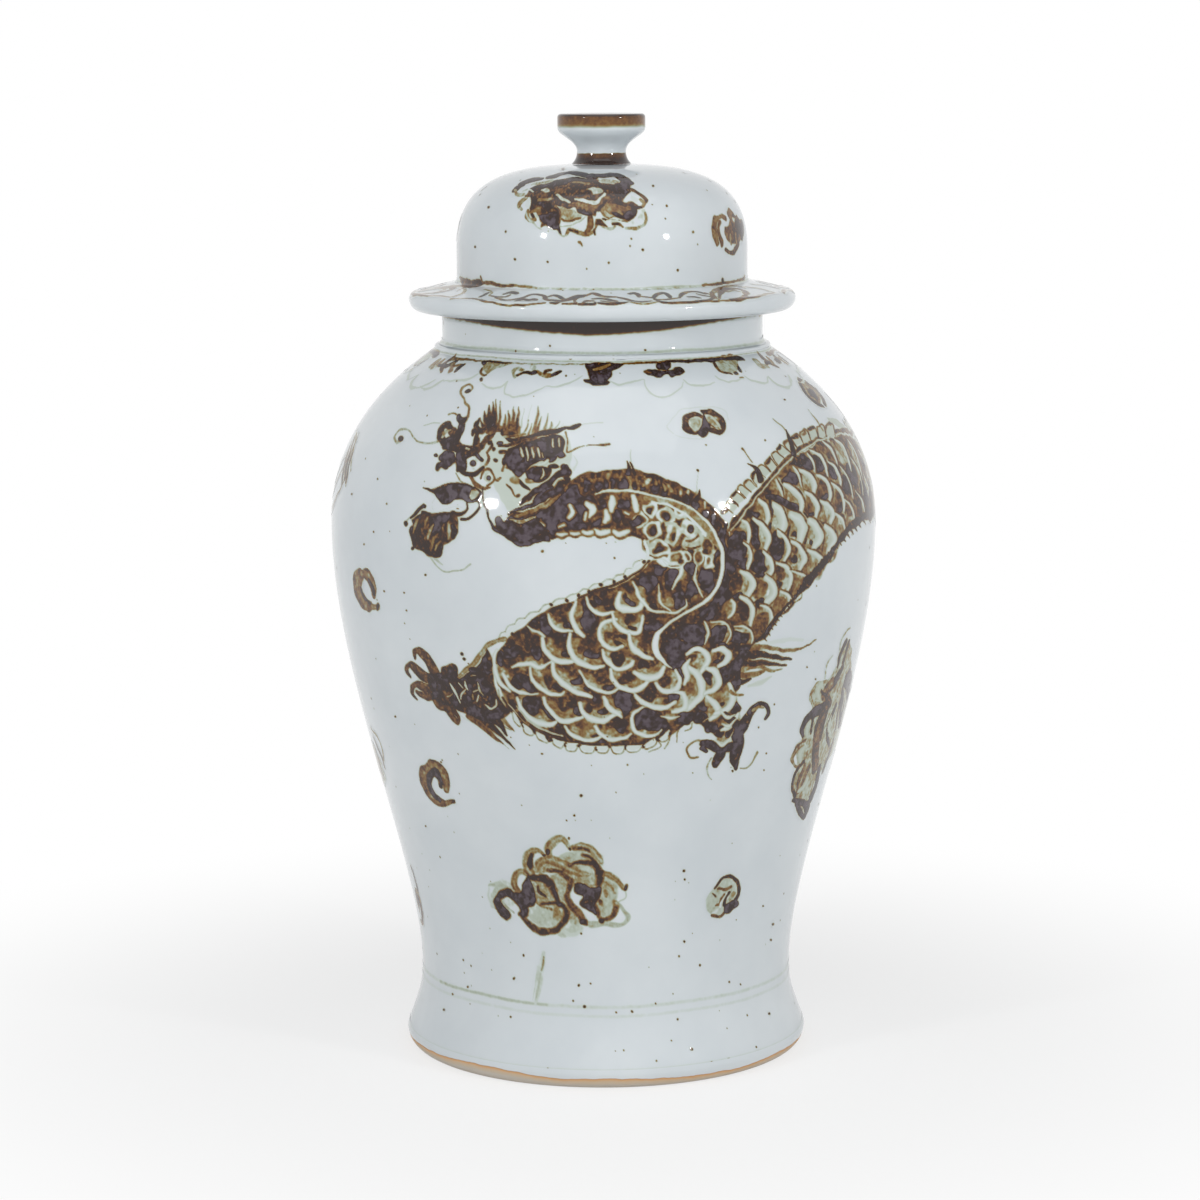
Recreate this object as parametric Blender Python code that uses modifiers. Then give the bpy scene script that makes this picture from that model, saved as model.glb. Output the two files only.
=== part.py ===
"""Temple jar in porcelain: a full belly on a spreading foot, a short straight neck and a domed lid.

The potter turns the jar in sections and sticks them together with slip. The lower body, the shoulder
and the neck collar make the jar. The dome with its brim, the locating ring under it and the knob make
the lid. Heights run up from the face that the foot rests on, radii run out from the turning axis, and
both are in metres.
"""

import math

import bpy

# The lower body: foot, waist, wall and floor
FOOT_EDGE_HEIGHT = 0.009
FOOT_EDGE_INSET = 0.007
FOOT_RING_WIDTH = 0.015
FOOT_RING_DEPTH = 0.008
FOOT_FLARE = 0.0085
FOOT_FLARE_ANGLE = math.radians(18)
WAIST_HEIGHT = 0.0443
WAIST_RADIUS = 0.1018
BELLY_HEIGHT = 0.289
BELLY_RADIUS = 0.1483
BODY_WALL = 0.007
FLOOR_THICKNESS = 0.010
FLOOR_CORNER_RADIUS = 0.012

# The shoulder
SHOULDER_RISE = 0.0947
SHOULDER_SLOPE = math.radians(34)
SHOULDER_STEP = 0.001

# The neck collar, with the bead round its base
COLLAR_HEIGHT = 0.0234
COLLAR_RADIUS = 0.0868
COLLAR_WALL = 0.007
COLLAR_LIP_RADIUS = 0.0015
BEAD_WIDTH = 0.0042
BEAD_HEIGHT = 0.003
BEAD_FILLET_HEIGHT = 0.004

# The locating ring under the lid
RING_CLEARANCE = 0.0025
RING_WALL = 0.0055
RING_DEPTH = 0.018
RING_EDGE_RADIUS = 0.0015

# The dome and its brim
DOME_WALL = 0.0068
DOME_RISE = 0.075
DOME_SIDE_HEIGHT = 0.030
DOME_CROWN_FALL = 0.001
DOME_FILLET_RADIUS = 0.0025
BRIM_OVERHANG = 0.0178
BRIM_ROOT_HEIGHT = 0.0123
BRIM_TOP_FALL = 0.0046
BRIM_TIP_HEIGHT = 0.0035
BRIM_TIP_WIDTH = 0.0046
BRIM_DRIP = 0.0028
BRIM_DRIP_OUTER_WIDTH = 0.006
BRIM_DRIP_INNER_WIDTH = 0.004

# The knob
KNOB_HEIGHT = 0.0267
KNOB_RADIUS = 0.0237
KNOB_RIM_HEIGHT = 0.0075
KNOB_EDGE_RADIUS = 0.002
KNOB_DISH_DEPTH = 0.0008
KNOB_WAIST_RADIUS = 0.0132
KNOB_WAIST_HEIGHT = 0.0065
KNOB_FOOT_RADIUS = 0.016

# What a slip joint leaves between two sections, and what the lid leaves where it rests on the neck
SLIP_JOINT = 0.0003
LID_REST = 0.0003

# How far the two handles of each drawn curve reach, as shares of its rise or its run
LOWER_WALL_SHARES = (0.34, 0.23)
FLARE_SHARES = (0.45, 0.35)
SHOULDER_SHARES = (0.63, 0.48)
DOME_SHARES = (0.64, 0.75)
KNOB_BELL_SHARES = (0.35, 0.50)
KNOB_STEM_SHARES = (0.50, 0.45, 0.20)

# How finely the turned forms are cut
BODY_SEGMENTS = 48
KNOB_SEGMENTS = 32

# Where each section stands on the one below it
SHOULDER_BASE = BELLY_HEIGHT + SLIP_JOINT
SHOULDER_TOP = SHOULDER_BASE + SHOULDER_RISE
COLLAR_BASE = SHOULDER_TOP + SLIP_JOINT
COLLAR_TOP = COLLAR_BASE + COLLAR_HEIGHT
LID_SEAT = COLLAR_TOP + LID_REST
DOME_TOP = LID_SEAT + DOME_RISE
KNOB_BASE = DOME_TOP + SLIP_JOINT

# Radii that one section takes from another
FOOT_RADIUS = WAIST_RADIUS + FOOT_FLARE
MOUTH_RADIUS = COLLAR_RADIUS - COLLAR_WALL
SHOULDER_TOP_RADIUS = COLLAR_RADIUS + BEAD_WIDTH + SHOULDER_STEP
RING_RADIUS = MOUTH_RADIUS - RING_CLEARANCE
HOLLOW_RADIUS = RING_RADIUS - RING_WALL
DOME_RADIUS = HOLLOW_RADIUS + DOME_WALL
BRIM_RADIUS = COLLAR_RADIUS + BRIM_OVERHANG


def drawn_curve(handles, steps, inset=0.0):
    """Points down a curve drawn by two ends and two handles, moved in from the outside by the inset."""
    start, first, second, end = handles
    points = []
    for step in range(steps + 1):
        t = step / steps
        s = 1 - t
        place = []
        slope = []
        for a, b, c, d in zip(start, first, second, end):
            place.append(s**3 * a + 3 * s**2 * t * b + 3 * s * t**2 * c + t**3 * d)
            slope.append(s**2 * (b - a) + 2 * s * t * (c - b) + t**2 * (d - c))
        length = math.hypot(*slope)
        points.append((place[0] + inset * slope[1] / length, place[1] - inset * slope[0] / length))
    return points


def rounding(centre, reach, start_degrees, end_degrees, steps):
    """Points along an elliptical rounding, its angles counted from straight out towards straight up."""
    points = []
    for step in range(steps + 1):
        angle = math.radians(start_degrees + (end_degrees - start_degrees) * step / steps)
        points.append((centre[0] + reach[0] * math.cos(angle), centre[1] + reach[1] * math.sin(angle)))
    return points


def turned(name, outline, segments, closed=False):
    """A solid of revolution about the upright axis, from an outline that runs down its outer side."""
    edges = [(i, i + 1) for i in range(len(outline) - 1)]
    if closed:
        edges.append((len(outline) - 1, 0))
    mesh = bpy.data.meshes.new(name)
    mesh.from_pydata([(radius, 0, height) for radius, height in outline], edges, [])
    piece = bpy.data.objects.new(name, mesh)
    parts.objects.link(piece)
    screw = piece.modifiers.new("turning", "SCREW")
    screw.axis = "Z"
    screw.steps = segments
    screw.render_steps = segments
    screw.use_merge_vertices = True
    screw.merge_threshold = 0.00001
    screw.use_smooth_shade = True
    return piece


def clay(piece, name, colour, roughness):
    """Gives a piece its own surface: a glaze over porcelain, or porcelain left bare."""
    material = bpy.data.materials.new(name)
    material.use_nodes = True
    shader = material.node_tree.nodes["Principled BSDF"]
    shader.inputs["Base Color"].default_value = (*colour, 1)
    shader.inputs["Roughness"].default_value = roughness
    shader.inputs["Metallic"].default_value = 0
    piece.data.materials.append(material)


def lower_wall():
    """The outside from the belly down to the waist, as a curve that stands upright at both ends."""
    rise = BELLY_HEIGHT - WAIST_HEIGHT
    belly_share, waist_share = LOWER_WALL_SHARES
    return [
        (BELLY_RADIUS, BELLY_HEIGHT),
        (BELLY_RADIUS, BELLY_HEIGHT - belly_share * rise),
        (WAIST_RADIUS, WAIST_HEIGHT + waist_share * rise),
        (WAIST_RADIUS, WAIST_HEIGHT),
    ]


def foot_flare():
    """The outside from the waist down to the foot's edge, where it runs out at the flare angle."""
    fall = WAIST_HEIGHT - FOOT_EDGE_HEIGHT
    waist_share, edge_share = FLARE_SHARES
    reach = edge_share * fall
    return [
        (WAIST_RADIUS, WAIST_HEIGHT),
        (WAIST_RADIUS, WAIST_HEIGHT - waist_share * fall),
        (
            FOOT_RADIUS - reach * math.sin(FOOT_FLARE_ANGLE),
            FOOT_EDGE_HEIGHT + reach * math.cos(FOOT_FLARE_ANGLE),
        ),
        (FOOT_RADIUS, FOOT_EDGE_HEIGHT),
    ]


def shoulder_curve():
    """The outside from the foot of the collar down over the shoulder to the belly."""
    collar_share, belly_share = SHOULDER_SHARES
    reach = collar_share * (BELLY_RADIUS - SHOULDER_TOP_RADIUS)
    return [
        (SHOULDER_TOP_RADIUS, SHOULDER_TOP),
        (
            SHOULDER_TOP_RADIUS + reach * math.cos(SHOULDER_SLOPE),
            SHOULDER_TOP - reach * math.sin(SHOULDER_SLOPE),
        ),
        (BELLY_RADIUS, SHOULDER_BASE + belly_share * SHOULDER_RISE),
        (BELLY_RADIUS, SHOULDER_BASE),
    ]


def dome_curve():
    """The outside of the dome, from the knob's foot down to where its side stands upright."""
    crown_share, side_share = DOME_SHARES
    side = LID_SEAT + DOME_SIDE_HEIGHT
    return [
        (KNOB_FOOT_RADIUS, DOME_TOP),
        (
            KNOB_FOOT_RADIUS + crown_share * (DOME_RADIUS - KNOB_FOOT_RADIUS),
            DOME_TOP - DOME_CROWN_FALL,
        ),
        (DOME_RADIUS, side + side_share * (DOME_TOP - side)),
        (DOME_RADIUS, side),
    ]


def lower_body():
    """Lower half of the jar: a thick floor over a turned foot ring, and a wall that swells to the belly."""
    inner_waist = WAIST_RADIUS - BODY_WALL
    floor_top = FOOT_RING_DEPTH + FLOOR_THICKNESS
    rest_radius = FOOT_RADIUS - FOOT_EDGE_INSET
    ring_inner = rest_radius - FOOT_RING_WIDTH
    corner = (inner_waist - FLOOR_CORNER_RADIUS, floor_top + FLOOR_CORNER_RADIUS)
    outline = [(0, floor_top)]
    outline += rounding(corner, (FLOOR_CORNER_RADIUS, FLOOR_CORNER_RADIUS), -90, 0, 3)
    outline += reversed(drawn_curve(lower_wall(), 7, BODY_WALL))
    outline += drawn_curve(lower_wall(), 8)
    outline += drawn_curve(foot_flare(), 4)[1:]
    edge_centre = (rest_radius, FOOT_EDGE_HEIGHT)
    outline += rounding(edge_centre, (FOOT_EDGE_INSET, FOOT_EDGE_HEIGHT), 0, -90, 3)[1:]
    outline += [(ring_inner, 0), (ring_inner, FOOT_RING_DEPTH), (0, FOOT_RING_DEPTH)]
    piece = turned("lower_body", outline, BODY_SEGMENTS)
    clay(piece, "pale celadon glaze on the lower body", (0.70, 0.76, 0.78), 0.08)


def shoulder():
    """Upper half of the jar: it closes in from the belly to the flat seat that carries the collar."""
    outline = drawn_curve(shoulder_curve(), 7)
    outline += reversed(drawn_curve(shoulder_curve(), 6, BODY_WALL)[1:])
    outline += [(MOUTH_RADIUS, SHOULDER_TOP - BODY_WALL), (MOUTH_RADIUS, SHOULDER_TOP)]
    piece = turned("shoulder", outline, BODY_SEGMENTS, closed=True)
    clay(piece, "pale celadon glaze on the shoulder", (0.72, 0.78, 0.79), 0.08)


def neck_collar():
    """Straight neck with a flat lip for the lid, and a bead where it stands on the shoulder."""
    lip = COLLAR_LIP_RADIUS
    bead = BEAD_HEIGHT / 2
    bead_centre = COLLAR_RADIUS + BEAD_WIDTH - bead
    fillet_width = bead_centre - COLLAR_RADIUS
    fillet_base = COLLAR_BASE + BEAD_HEIGHT
    fillet_centre = (bead_centre, fillet_base + BEAD_FILLET_HEIGHT)
    outline = rounding((COLLAR_RADIUS - lip, COLLAR_TOP - lip), (lip, lip), 90, 0, 2)
    outline += rounding(fillet_centre, (fillet_width, BEAD_FILLET_HEIGHT), 180, 270, 3)
    outline += rounding((bead_centre, COLLAR_BASE + bead), (bead, bead), 90, -90, 4)[1:]
    outline += [(MOUTH_RADIUS, COLLAR_BASE)]
    outline += rounding((MOUTH_RADIUS + lip, COLLAR_TOP - lip), (lip, lip), 180, 90, 2)
    piece = turned("neck_collar", outline, BODY_SEGMENTS, closed=True)
    clay(piece, "pale celadon glaze on the neck", (0.72, 0.78, 0.79), 0.08)


def locating_ring():
    """Unglazed ring under the lid that hangs inside the neck and keeps the lid from sliding off."""
    top = LID_SEAT - SLIP_JOINT
    base = top - RING_DEPTH
    edge = RING_EDGE_RADIUS
    outline = [(RING_RADIUS, top)]
    outline += rounding((RING_RADIUS - edge, base + edge), (edge, edge), 0, -90, 2)
    outline += rounding((HOLLOW_RADIUS + edge, base + edge), (edge, edge), -90, -180, 2)
    outline += [(HOLLOW_RADIUS, top)]
    piece = turned("locating_ring", outline, BODY_SEGMENTS, closed=True)
    clay(piece, "bare porcelain on the locating ring", (0.72, 0.58, 0.44), 0.75)


def lid_dome():
    """Lid shell: a high dome on a sloping brim with a thick rolled edge, flat underneath for its rest."""
    fillet = DOME_FILLET_RADIUS
    brim_root = LID_SEAT + BRIM_ROOT_HEIGHT
    brim_tip = LID_SEAT + BRIM_TIP_HEIGHT
    brim_base = LID_SEAT - BRIM_DRIP
    tip_centre = (BRIM_RADIUS - BRIM_TIP_WIDTH, brim_tip)
    tip_rise = brim_root - BRIM_TOP_FALL - brim_tip
    drip_centre = (BRIM_RADIUS - BRIM_DRIP_OUTER_WIDTH, brim_tip)
    outline = [(0, DOME_TOP)]
    outline += drawn_curve(dome_curve(), 8)
    outline += rounding((DOME_RADIUS + fillet, brim_root + fillet), (fillet, fillet), 180, 270, 2)
    outline += rounding(tip_centre, (BRIM_TIP_WIDTH, tip_rise), 90, 0, 3)
    outline += rounding(drip_centre, (BRIM_DRIP_OUTER_WIDTH, brim_tip - brim_base), 0, -90, 3)[1:]
    outline += [(drip_centre[0] - BRIM_DRIP_INNER_WIDTH, LID_SEAT), (HOLLOW_RADIUS, LID_SEAT)]
    outline += reversed(drawn_curve(dome_curve(), 6, DOME_WALL))
    outline += [(0, DOME_TOP - DOME_WALL)]
    piece = turned("lid_dome", outline, BODY_SEGMENTS)
    clay(piece, "pale celadon glaze on the lid", (0.74, 0.80, 0.80), 0.08)


def lid_knob():
    """Solid knob: a dished button with an iron-brown rim on a waisted stem, for lifting the lid."""
    top = KNOB_BASE + KNOB_HEIGHT
    edge = KNOB_EDGE_RADIUS
    rim_base = top - KNOB_RIM_HEIGHT
    waist = KNOB_BASE + KNOB_WAIST_HEIGHT
    rim_share, waist_share = KNOB_BELL_SHARES
    upper_share, run_share, rise_share = KNOB_STEM_SHARES
    bell = [
        (KNOB_RADIUS, rim_base),
        (KNOB_RADIUS, rim_base - rim_share * (rim_base - waist)),
        (KNOB_WAIST_RADIUS, waist + waist_share * (rim_base - waist)),
        (KNOB_WAIST_RADIUS, waist),
    ]
    stem = [
        (KNOB_WAIST_RADIUS, waist),
        (KNOB_WAIST_RADIUS, waist - upper_share * KNOB_WAIST_HEIGHT),
        (
            KNOB_FOOT_RADIUS - run_share * (KNOB_FOOT_RADIUS - KNOB_WAIST_RADIUS),
            KNOB_BASE + rise_share * KNOB_WAIST_HEIGHT,
        ),
        (KNOB_FOOT_RADIUS, KNOB_BASE),
    ]
    outline = [(0, top - KNOB_DISH_DEPTH)]
    outline += rounding((KNOB_RADIUS - edge, top - edge), (edge, edge), 90, 0, 3)
    outline += drawn_curve(bell, 6)
    outline += drawn_curve(stem, 3)[1:]
    outline += [(0, KNOB_BASE)]
    piece = turned("lid_knob", outline, KNOB_SEGMENTS)
    clay(piece, "iron-brown and celadon glaze on the knob", (0.42, 0.27, 0.17), 0.10)


for old in list(bpy.data.objects):
    bpy.data.objects.remove(old, do_unlink=True)

parts = bpy.data.collections.new("temple_jar")
bpy.context.scene.collection.children.link(parts)

lower_body()
shoulder()
neck_collar()
locating_ring()
lid_dome()
lid_knob()
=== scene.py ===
"""Looks of the temple jar: celadon-white porcelain painted in iron brown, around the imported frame."""
import math

import bmesh
import bpy
import numpy as np
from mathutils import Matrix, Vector


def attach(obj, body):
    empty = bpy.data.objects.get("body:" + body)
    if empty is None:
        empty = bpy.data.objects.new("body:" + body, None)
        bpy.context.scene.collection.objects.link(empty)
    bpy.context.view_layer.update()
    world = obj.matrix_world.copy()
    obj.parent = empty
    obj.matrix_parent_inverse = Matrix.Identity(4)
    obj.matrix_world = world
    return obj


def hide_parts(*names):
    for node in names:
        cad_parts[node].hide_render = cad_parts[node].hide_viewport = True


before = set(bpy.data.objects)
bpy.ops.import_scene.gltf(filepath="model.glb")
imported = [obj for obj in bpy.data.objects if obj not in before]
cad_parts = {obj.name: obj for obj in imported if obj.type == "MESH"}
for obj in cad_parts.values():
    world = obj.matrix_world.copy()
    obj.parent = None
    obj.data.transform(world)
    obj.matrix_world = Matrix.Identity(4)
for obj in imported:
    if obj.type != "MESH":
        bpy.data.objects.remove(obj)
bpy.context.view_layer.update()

# The camera stands two metres off, a little above the lid, and looks slightly down through a long
# lens. The brushwork below is set out in pixels of its 1200 x 1200 frame.
FRAME_PIXELS = 1200
EYE_DISTANCE, EYE_HEIGHT = 1.9626, 0.5444
EYE_PITCH, EYE_ROLL = math.radians(8.658), math.radians(-0.31)
FOCAL_PIXELS, SHIFT_PIXELS = 3620.8, 0.9

lens = bpy.data.cameras.new("eye")
lens.sensor_width = 36
lens.lens = FOCAL_PIXELS / FRAME_PIXELS * lens.sensor_width
lens.shift_x = -SHIFT_PIXELS / FRAME_PIXELS
eye = bpy.data.objects.new("eye", lens)
eye.location = (0, -EYE_DISTANCE, EYE_HEIGHT)
eye.rotation_euler = (math.radians(90) - EYE_PITCH, -EYE_ROLL, 0)
bpy.context.scene.collection.objects.link(eye)
bpy.context.scene.camera = eye
bpy.context.scene.view_settings.view_transform = "Standard"


def tint(code):
    """A colour written as sRGB hex, made linear for a node or a lamp."""
    channels = [int(code[i:i + 2], 16) / 255 for i in (1, 3, 5)]
    return [c / 12.92 if c <= 0.04045 else ((c + 0.055) / 1.055) ** 2.4 for c in channels] + [1]


def node(tree, kind, inputs=None, **settings):
    """Adds a node. An input takes another node's output or a value; a setting is an attribute or an input."""
    made = tree.nodes.new(kind)
    for name, value in settings.items():
        if hasattr(made, name):
            setattr(made, name, value)
        else:
            made.inputs[name.replace("_", " ")].default_value = value
    for name, value in (inputs or {}).items():
        if isinstance(value, bpy.types.NodeSocket):
            tree.links.new(value, made.inputs[name])
        else:
            made.inputs[name].default_value = value
    return made


def ramp(tree, factor, *stops, colour=tint):
    """The colours of a ramp along a factor, from its stops: where each lies, and its code."""
    made = node(tree, "ShaderNodeValToRGB", {"Fac": factor})
    elements = made.color_ramp.elements
    for element, (at, code) in zip(elements, (stops[0], stops[-1])):
        element.position, element.color = at, colour(code)
    for at, code in stops[1:-1]:
        elements.new(at).color = colour(code)
    return made.outputs[0]


# The studio: white board under and behind the jar, two upright softboxes at its sides and a wide one
# above. The board keeps the jar's soft shadow near its foot, and further off it is seen as plain white.
FLOOR_REACH = 3.0
BOARD_WHITE = "#F4F4F3"
SHADOW_REACH = (0.16, 0.55)
SHADOW_LIGHTENED = 0.70

bm = bmesh.new()
bmesh.ops.create_grid(bm, x_segments=1, y_segments=1, size=FLOOR_REACH)
board_mesh = bpy.data.meshes.new("board")
bm.to_mesh(board_mesh)
bm.free()
board = bpy.data.objects.new("board", board_mesh)
bpy.context.scene.collection.objects.link(board)


def seen_directly(tree):
    """1 where this is seen, straight or in a reflection or through glass, and 0 where it only gives light."""
    rays = node(tree, "ShaderNodeLightPath").outputs
    either = node(tree, "ShaderNodeMath", {0: rays["Is Camera Ray"], 1: rays["Is Glossy Ray"]},
                  operation="MAXIMUM")
    return node(tree, "ShaderNodeMath", {0: either.outputs[0], 1: rays["Is Transmission Ray"]},
                operation="MAXIMUM").outputs[0]


paper = bpy.data.materials.new("white_card")
paper.use_nodes = True
tree = paper.node_tree
tree.nodes.clear()
matt = node(tree, "ShaderNodeBsdfDiffuse", Color=tint(BOARD_WHITE))
plain = node(tree, "ShaderNodeEmission", Color=tint("#FFFFFF"), Strength=1.0)
spot = node(tree, "ShaderNodeTexCoord").outputs["Object"]
away = node(tree, "ShaderNodeVectorMath", {0: spot}, operation="LENGTH").outputs["Value"]
far = node(tree, "ShaderNodeMapRange", {"Value": away}, interpolation_type="SMOOTHSTEP",
           From_Min=SHADOW_REACH[0], From_Max=SHADOW_REACH[1], To_Min=SHADOW_LIGHTENED)
share = node(tree, "ShaderNodeMath", {0: seen_directly(tree), 1: far.outputs[0]}, operation="MULTIPLY")
mixed = node(tree, "ShaderNodeMixShader", {0: share.outputs[0], 1: matt.outputs[0], 2: plain.outputs[0]})
node(tree, "ShaderNodeOutputMaterial", {"Surface": mixed.outputs[0]})
board_mesh.materials.append(paper)

world = bpy.data.worlds.new("studio")
world.use_nodes = True
tree = world.node_tree
tree.nodes.clear()
room = node(tree, "ShaderNodeBackground", Color=tint("#EEF1F4"), Strength=0.27)
white = node(tree, "ShaderNodeBackground", Color=tint("#FFFFFF"), Strength=1.0)
mixed = node(tree, "ShaderNodeMixShader", {0: seen_directly(tree), 1: room.outputs[0], 2: white.outputs[0]})
node(tree, "ShaderNodeOutputWorld", {"Surface": mixed.outputs[0]})
bpy.context.scene.world = world

# The lamps: where each stands, the height on the jar that it is aimed at, its width and height, its watts
# and whether it is mirrored in the glaze, as the two small flashes and the board above are
for name, place, aim, width, height, power, mirrored in (
    ("flash_left", (-1.45, -1.34, 0.97), 0.33, 0.14, 0.14, 7, True),
    ("flash_left_softbox", (-1.48, -1.37, 0.97), 0.33, 0.55, 0.60, 5.5, False),
    ("flash_right", (1.56, -1.24, 0.87), 0.33, 0.14, 0.14, 7, True),
    ("flash_right_softbox", (1.59, -1.27, 0.87), 0.33, 0.50, 0.55, 6.5, False),
    ("fill", (0.0, -2.5, 1.5), 0.30, 1.8, 1.2, 9, False),
    ("softbox_above", (0.0, -0.5, 1.9), 0.30, 1.6, 1.2, 5.5, True),
):
    lamp = bpy.data.lights.new(name, "AREA")
    lamp.shape = "RECTANGLE"
    lamp.size, lamp.size_y = width, height
    lamp.energy = power
    stand = bpy.data.objects.new(name, lamp)
    stand.location = place
    stand.rotation_euler = (Vector((0, 0, aim)) - Vector(place)).to_track_quat("-Z", "Y").to_euler()
    stand.visible_glossy = mirrored
    bpy.context.scene.collection.objects.link(stand)


# The jar: porcelain turned in sections and stuck together with slip, then dipped whole in one pale
# celadon glaze, inside and out, so that no joint shows. The sizes are those of the sections under it.
WAIST_RADIUS, WAIST_HEIGHT = 0.1018, 0.0443
FOOT_RADIUS, FOOT_EDGE_HEIGHT, FOOT_EDGE_INSET = 0.1103, 0.009, 0.007
FOOT_RING_WIDTH, FOOT_RING_DEPTH, FOOT_RING_EDGE = 0.015, 0.008, 0.0012
BELLY_RADIUS, BELLY_HEIGHT = 0.1483, 0.289
SHOULDER_RADIUS, SHOULDER_TOP = 0.092, 0.384
COLLAR_RADIUS, COLLAR_BASE, COLLAR_TOP = 0.0868, 0.3843, 0.4077
BEAD_WIDTH, BEAD_HEIGHT, BEAD_FILLET_HEIGHT = 0.0042, 0.003, 0.004
FLOOR_TOP, FLOOR_CORNER = 0.018, 0.012
WALL = 0.007
EASED_EDGE = 0.0015
TURNS = 240
WELDED = 0.000002


def drawn(start, first, second, end, count):
    """Points down a curve given by its two ends and two handles, the end left out."""
    t = np.linspace(0, 1, count, endpoint=False)[:, None]
    a, b, c, d = (np.array(p) for p in (start, first, second, end))
    return (1 - t) ** 3 * a + 3 * (1 - t) ** 2 * t * b + 3 * (1 - t) * t ** 2 * c + t ** 3 * d


def rounded(centre, reach, start, end, count):
    """Points round a corner, its angles in degrees from straight out towards straight up."""
    out, up = reach if isinstance(reach, tuple) else (reach, reach)
    angle = np.radians(np.linspace(start, end, count))
    return np.stack([centre[0] + out * np.cos(angle), centre[1] + up * np.sin(angle)], 1)


def moved_in(points, depth):
    """The same line, moved in by the wall's thickness."""
    slope = np.gradient(points, axis=0)
    slope /= np.hypot(slope[:, 0], slope[:, 1])[:, None]
    return points + depth * np.stack([slope[:, 1], -slope[:, 0]], 1)


def turned(name, outline, turns):
    """A closed form turned about the upright axis from an outline that runs between two poles."""
    bm = bmesh.new()
    line = [bm.verts.new((r, 0, z)) for r, z in outline]
    edges = [bm.edges.new(pair) for pair in zip(line, line[1:])]
    bmesh.ops.spin(
        bm, geom=line + edges, cent=(0, 0, 0), axis=(0, 0, 1),
        angle=math.tau, steps=turns, use_merge=True,
    )
    bmesh.ops.remove_doubles(bm, verts=bm.verts, dist=WELDED)
    bmesh.ops.recalc_face_normals(bm, faces=bm.faces)

    # The spin leaves its faces in an order that differs from run to run, so they are sorted by their corners
    bm.verts.index_update()
    faces = sorted([corner.index for corner in face.verts] for face in bm.faces)
    mesh = bpy.data.meshes.new(name)
    mesh.from_pydata([corner.co for corner in bm.verts], [], faces)
    bm.free()
    mesh.shade_smooth()
    piece = bpy.data.objects.new(name, mesh)
    bpy.context.scene.collection.objects.link(piece)
    return piece


shoulder_line = drawn(
    (SHOULDER_RADIUS, SHOULDER_TOP),
    (SHOULDER_RADIUS + 0.0294, SHOULDER_TOP - 0.0198),
    (BELLY_RADIUS, 0.3348), (BELLY_RADIUS, 0.2893), 44,
)
wall_line = drawn(
    (BELLY_RADIUS, BELLY_HEIGHT), (BELLY_RADIUS, 0.2058),
    (WAIST_RADIUS, 0.1006), (WAIST_RADIUS, WAIST_HEIGHT), 64,
)
flare_line = drawn(
    (WAIST_RADIUS, WAIST_HEIGHT), (WAIST_RADIUS, 0.0284),
    (0.1065, 0.0207), (FOOT_RADIUS, FOOT_EDGE_HEIGHT), 20,
)
outer_wall = np.concatenate([shoulder_line, wall_line, flare_line])
inner_wall = moved_in(np.concatenate([shoulder_line, wall_line]), WALL)[::3]
inner_wall = inner_wall[(inner_wall[:, 1] > 0.032) & (inner_wall[:, 1] < 0.375)]
rest_radius = FOOT_RADIUS - FOOT_EDGE_INSET
ring_inner = rest_radius - FOOT_RING_WIDTH
mouth_radius = COLLAR_RADIUS - WALL
bead_edge = BEAD_HEIGHT / 2
bead_centre = COLLAR_RADIUS + BEAD_WIDTH - bead_edge

jar_outline = np.concatenate([
    [(0, FLOOR_TOP)],
    rounded((WAIST_RADIUS - WALL - FLOOR_CORNER, FLOOR_TOP + FLOOR_CORNER), FLOOR_CORNER, -90, 0, 8),
    inner_wall[::-1],
    [(mouth_radius, 0.378)],
    rounded((mouth_radius + EASED_EDGE, COLLAR_TOP - EASED_EDGE), EASED_EDGE, 180, 90, 6),
    rounded((COLLAR_RADIUS - EASED_EDGE, COLLAR_TOP - EASED_EDGE), EASED_EDGE, 90, 0, 6),
    rounded((bead_centre, COLLAR_BASE + BEAD_HEIGHT + BEAD_FILLET_HEIGHT),
            (BEAD_WIDTH - bead_edge, BEAD_FILLET_HEIGHT), 180, 262, 8),
    rounded((bead_centre, COLLAR_BASE + bead_edge), bead_edge, 90, -60, 9),
    outer_wall,
    rounded((rest_radius, FOOT_EDGE_HEIGHT), (FOOT_EDGE_INSET, FOOT_EDGE_HEIGHT), 0, -90, 14),
    rounded((ring_inner + FOOT_RING_EDGE, FOOT_RING_EDGE), FOOT_RING_EDGE, -90, -180, 5),
    rounded((ring_inner - EASED_EDGE, FOOT_RING_DEPTH - EASED_EDGE), EASED_EDGE, 0, 90, 5),
    [(0, FOOT_RING_DEPTH)],
])
jar = turned("jar_glaze", jar_outline, TURNS)


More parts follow.
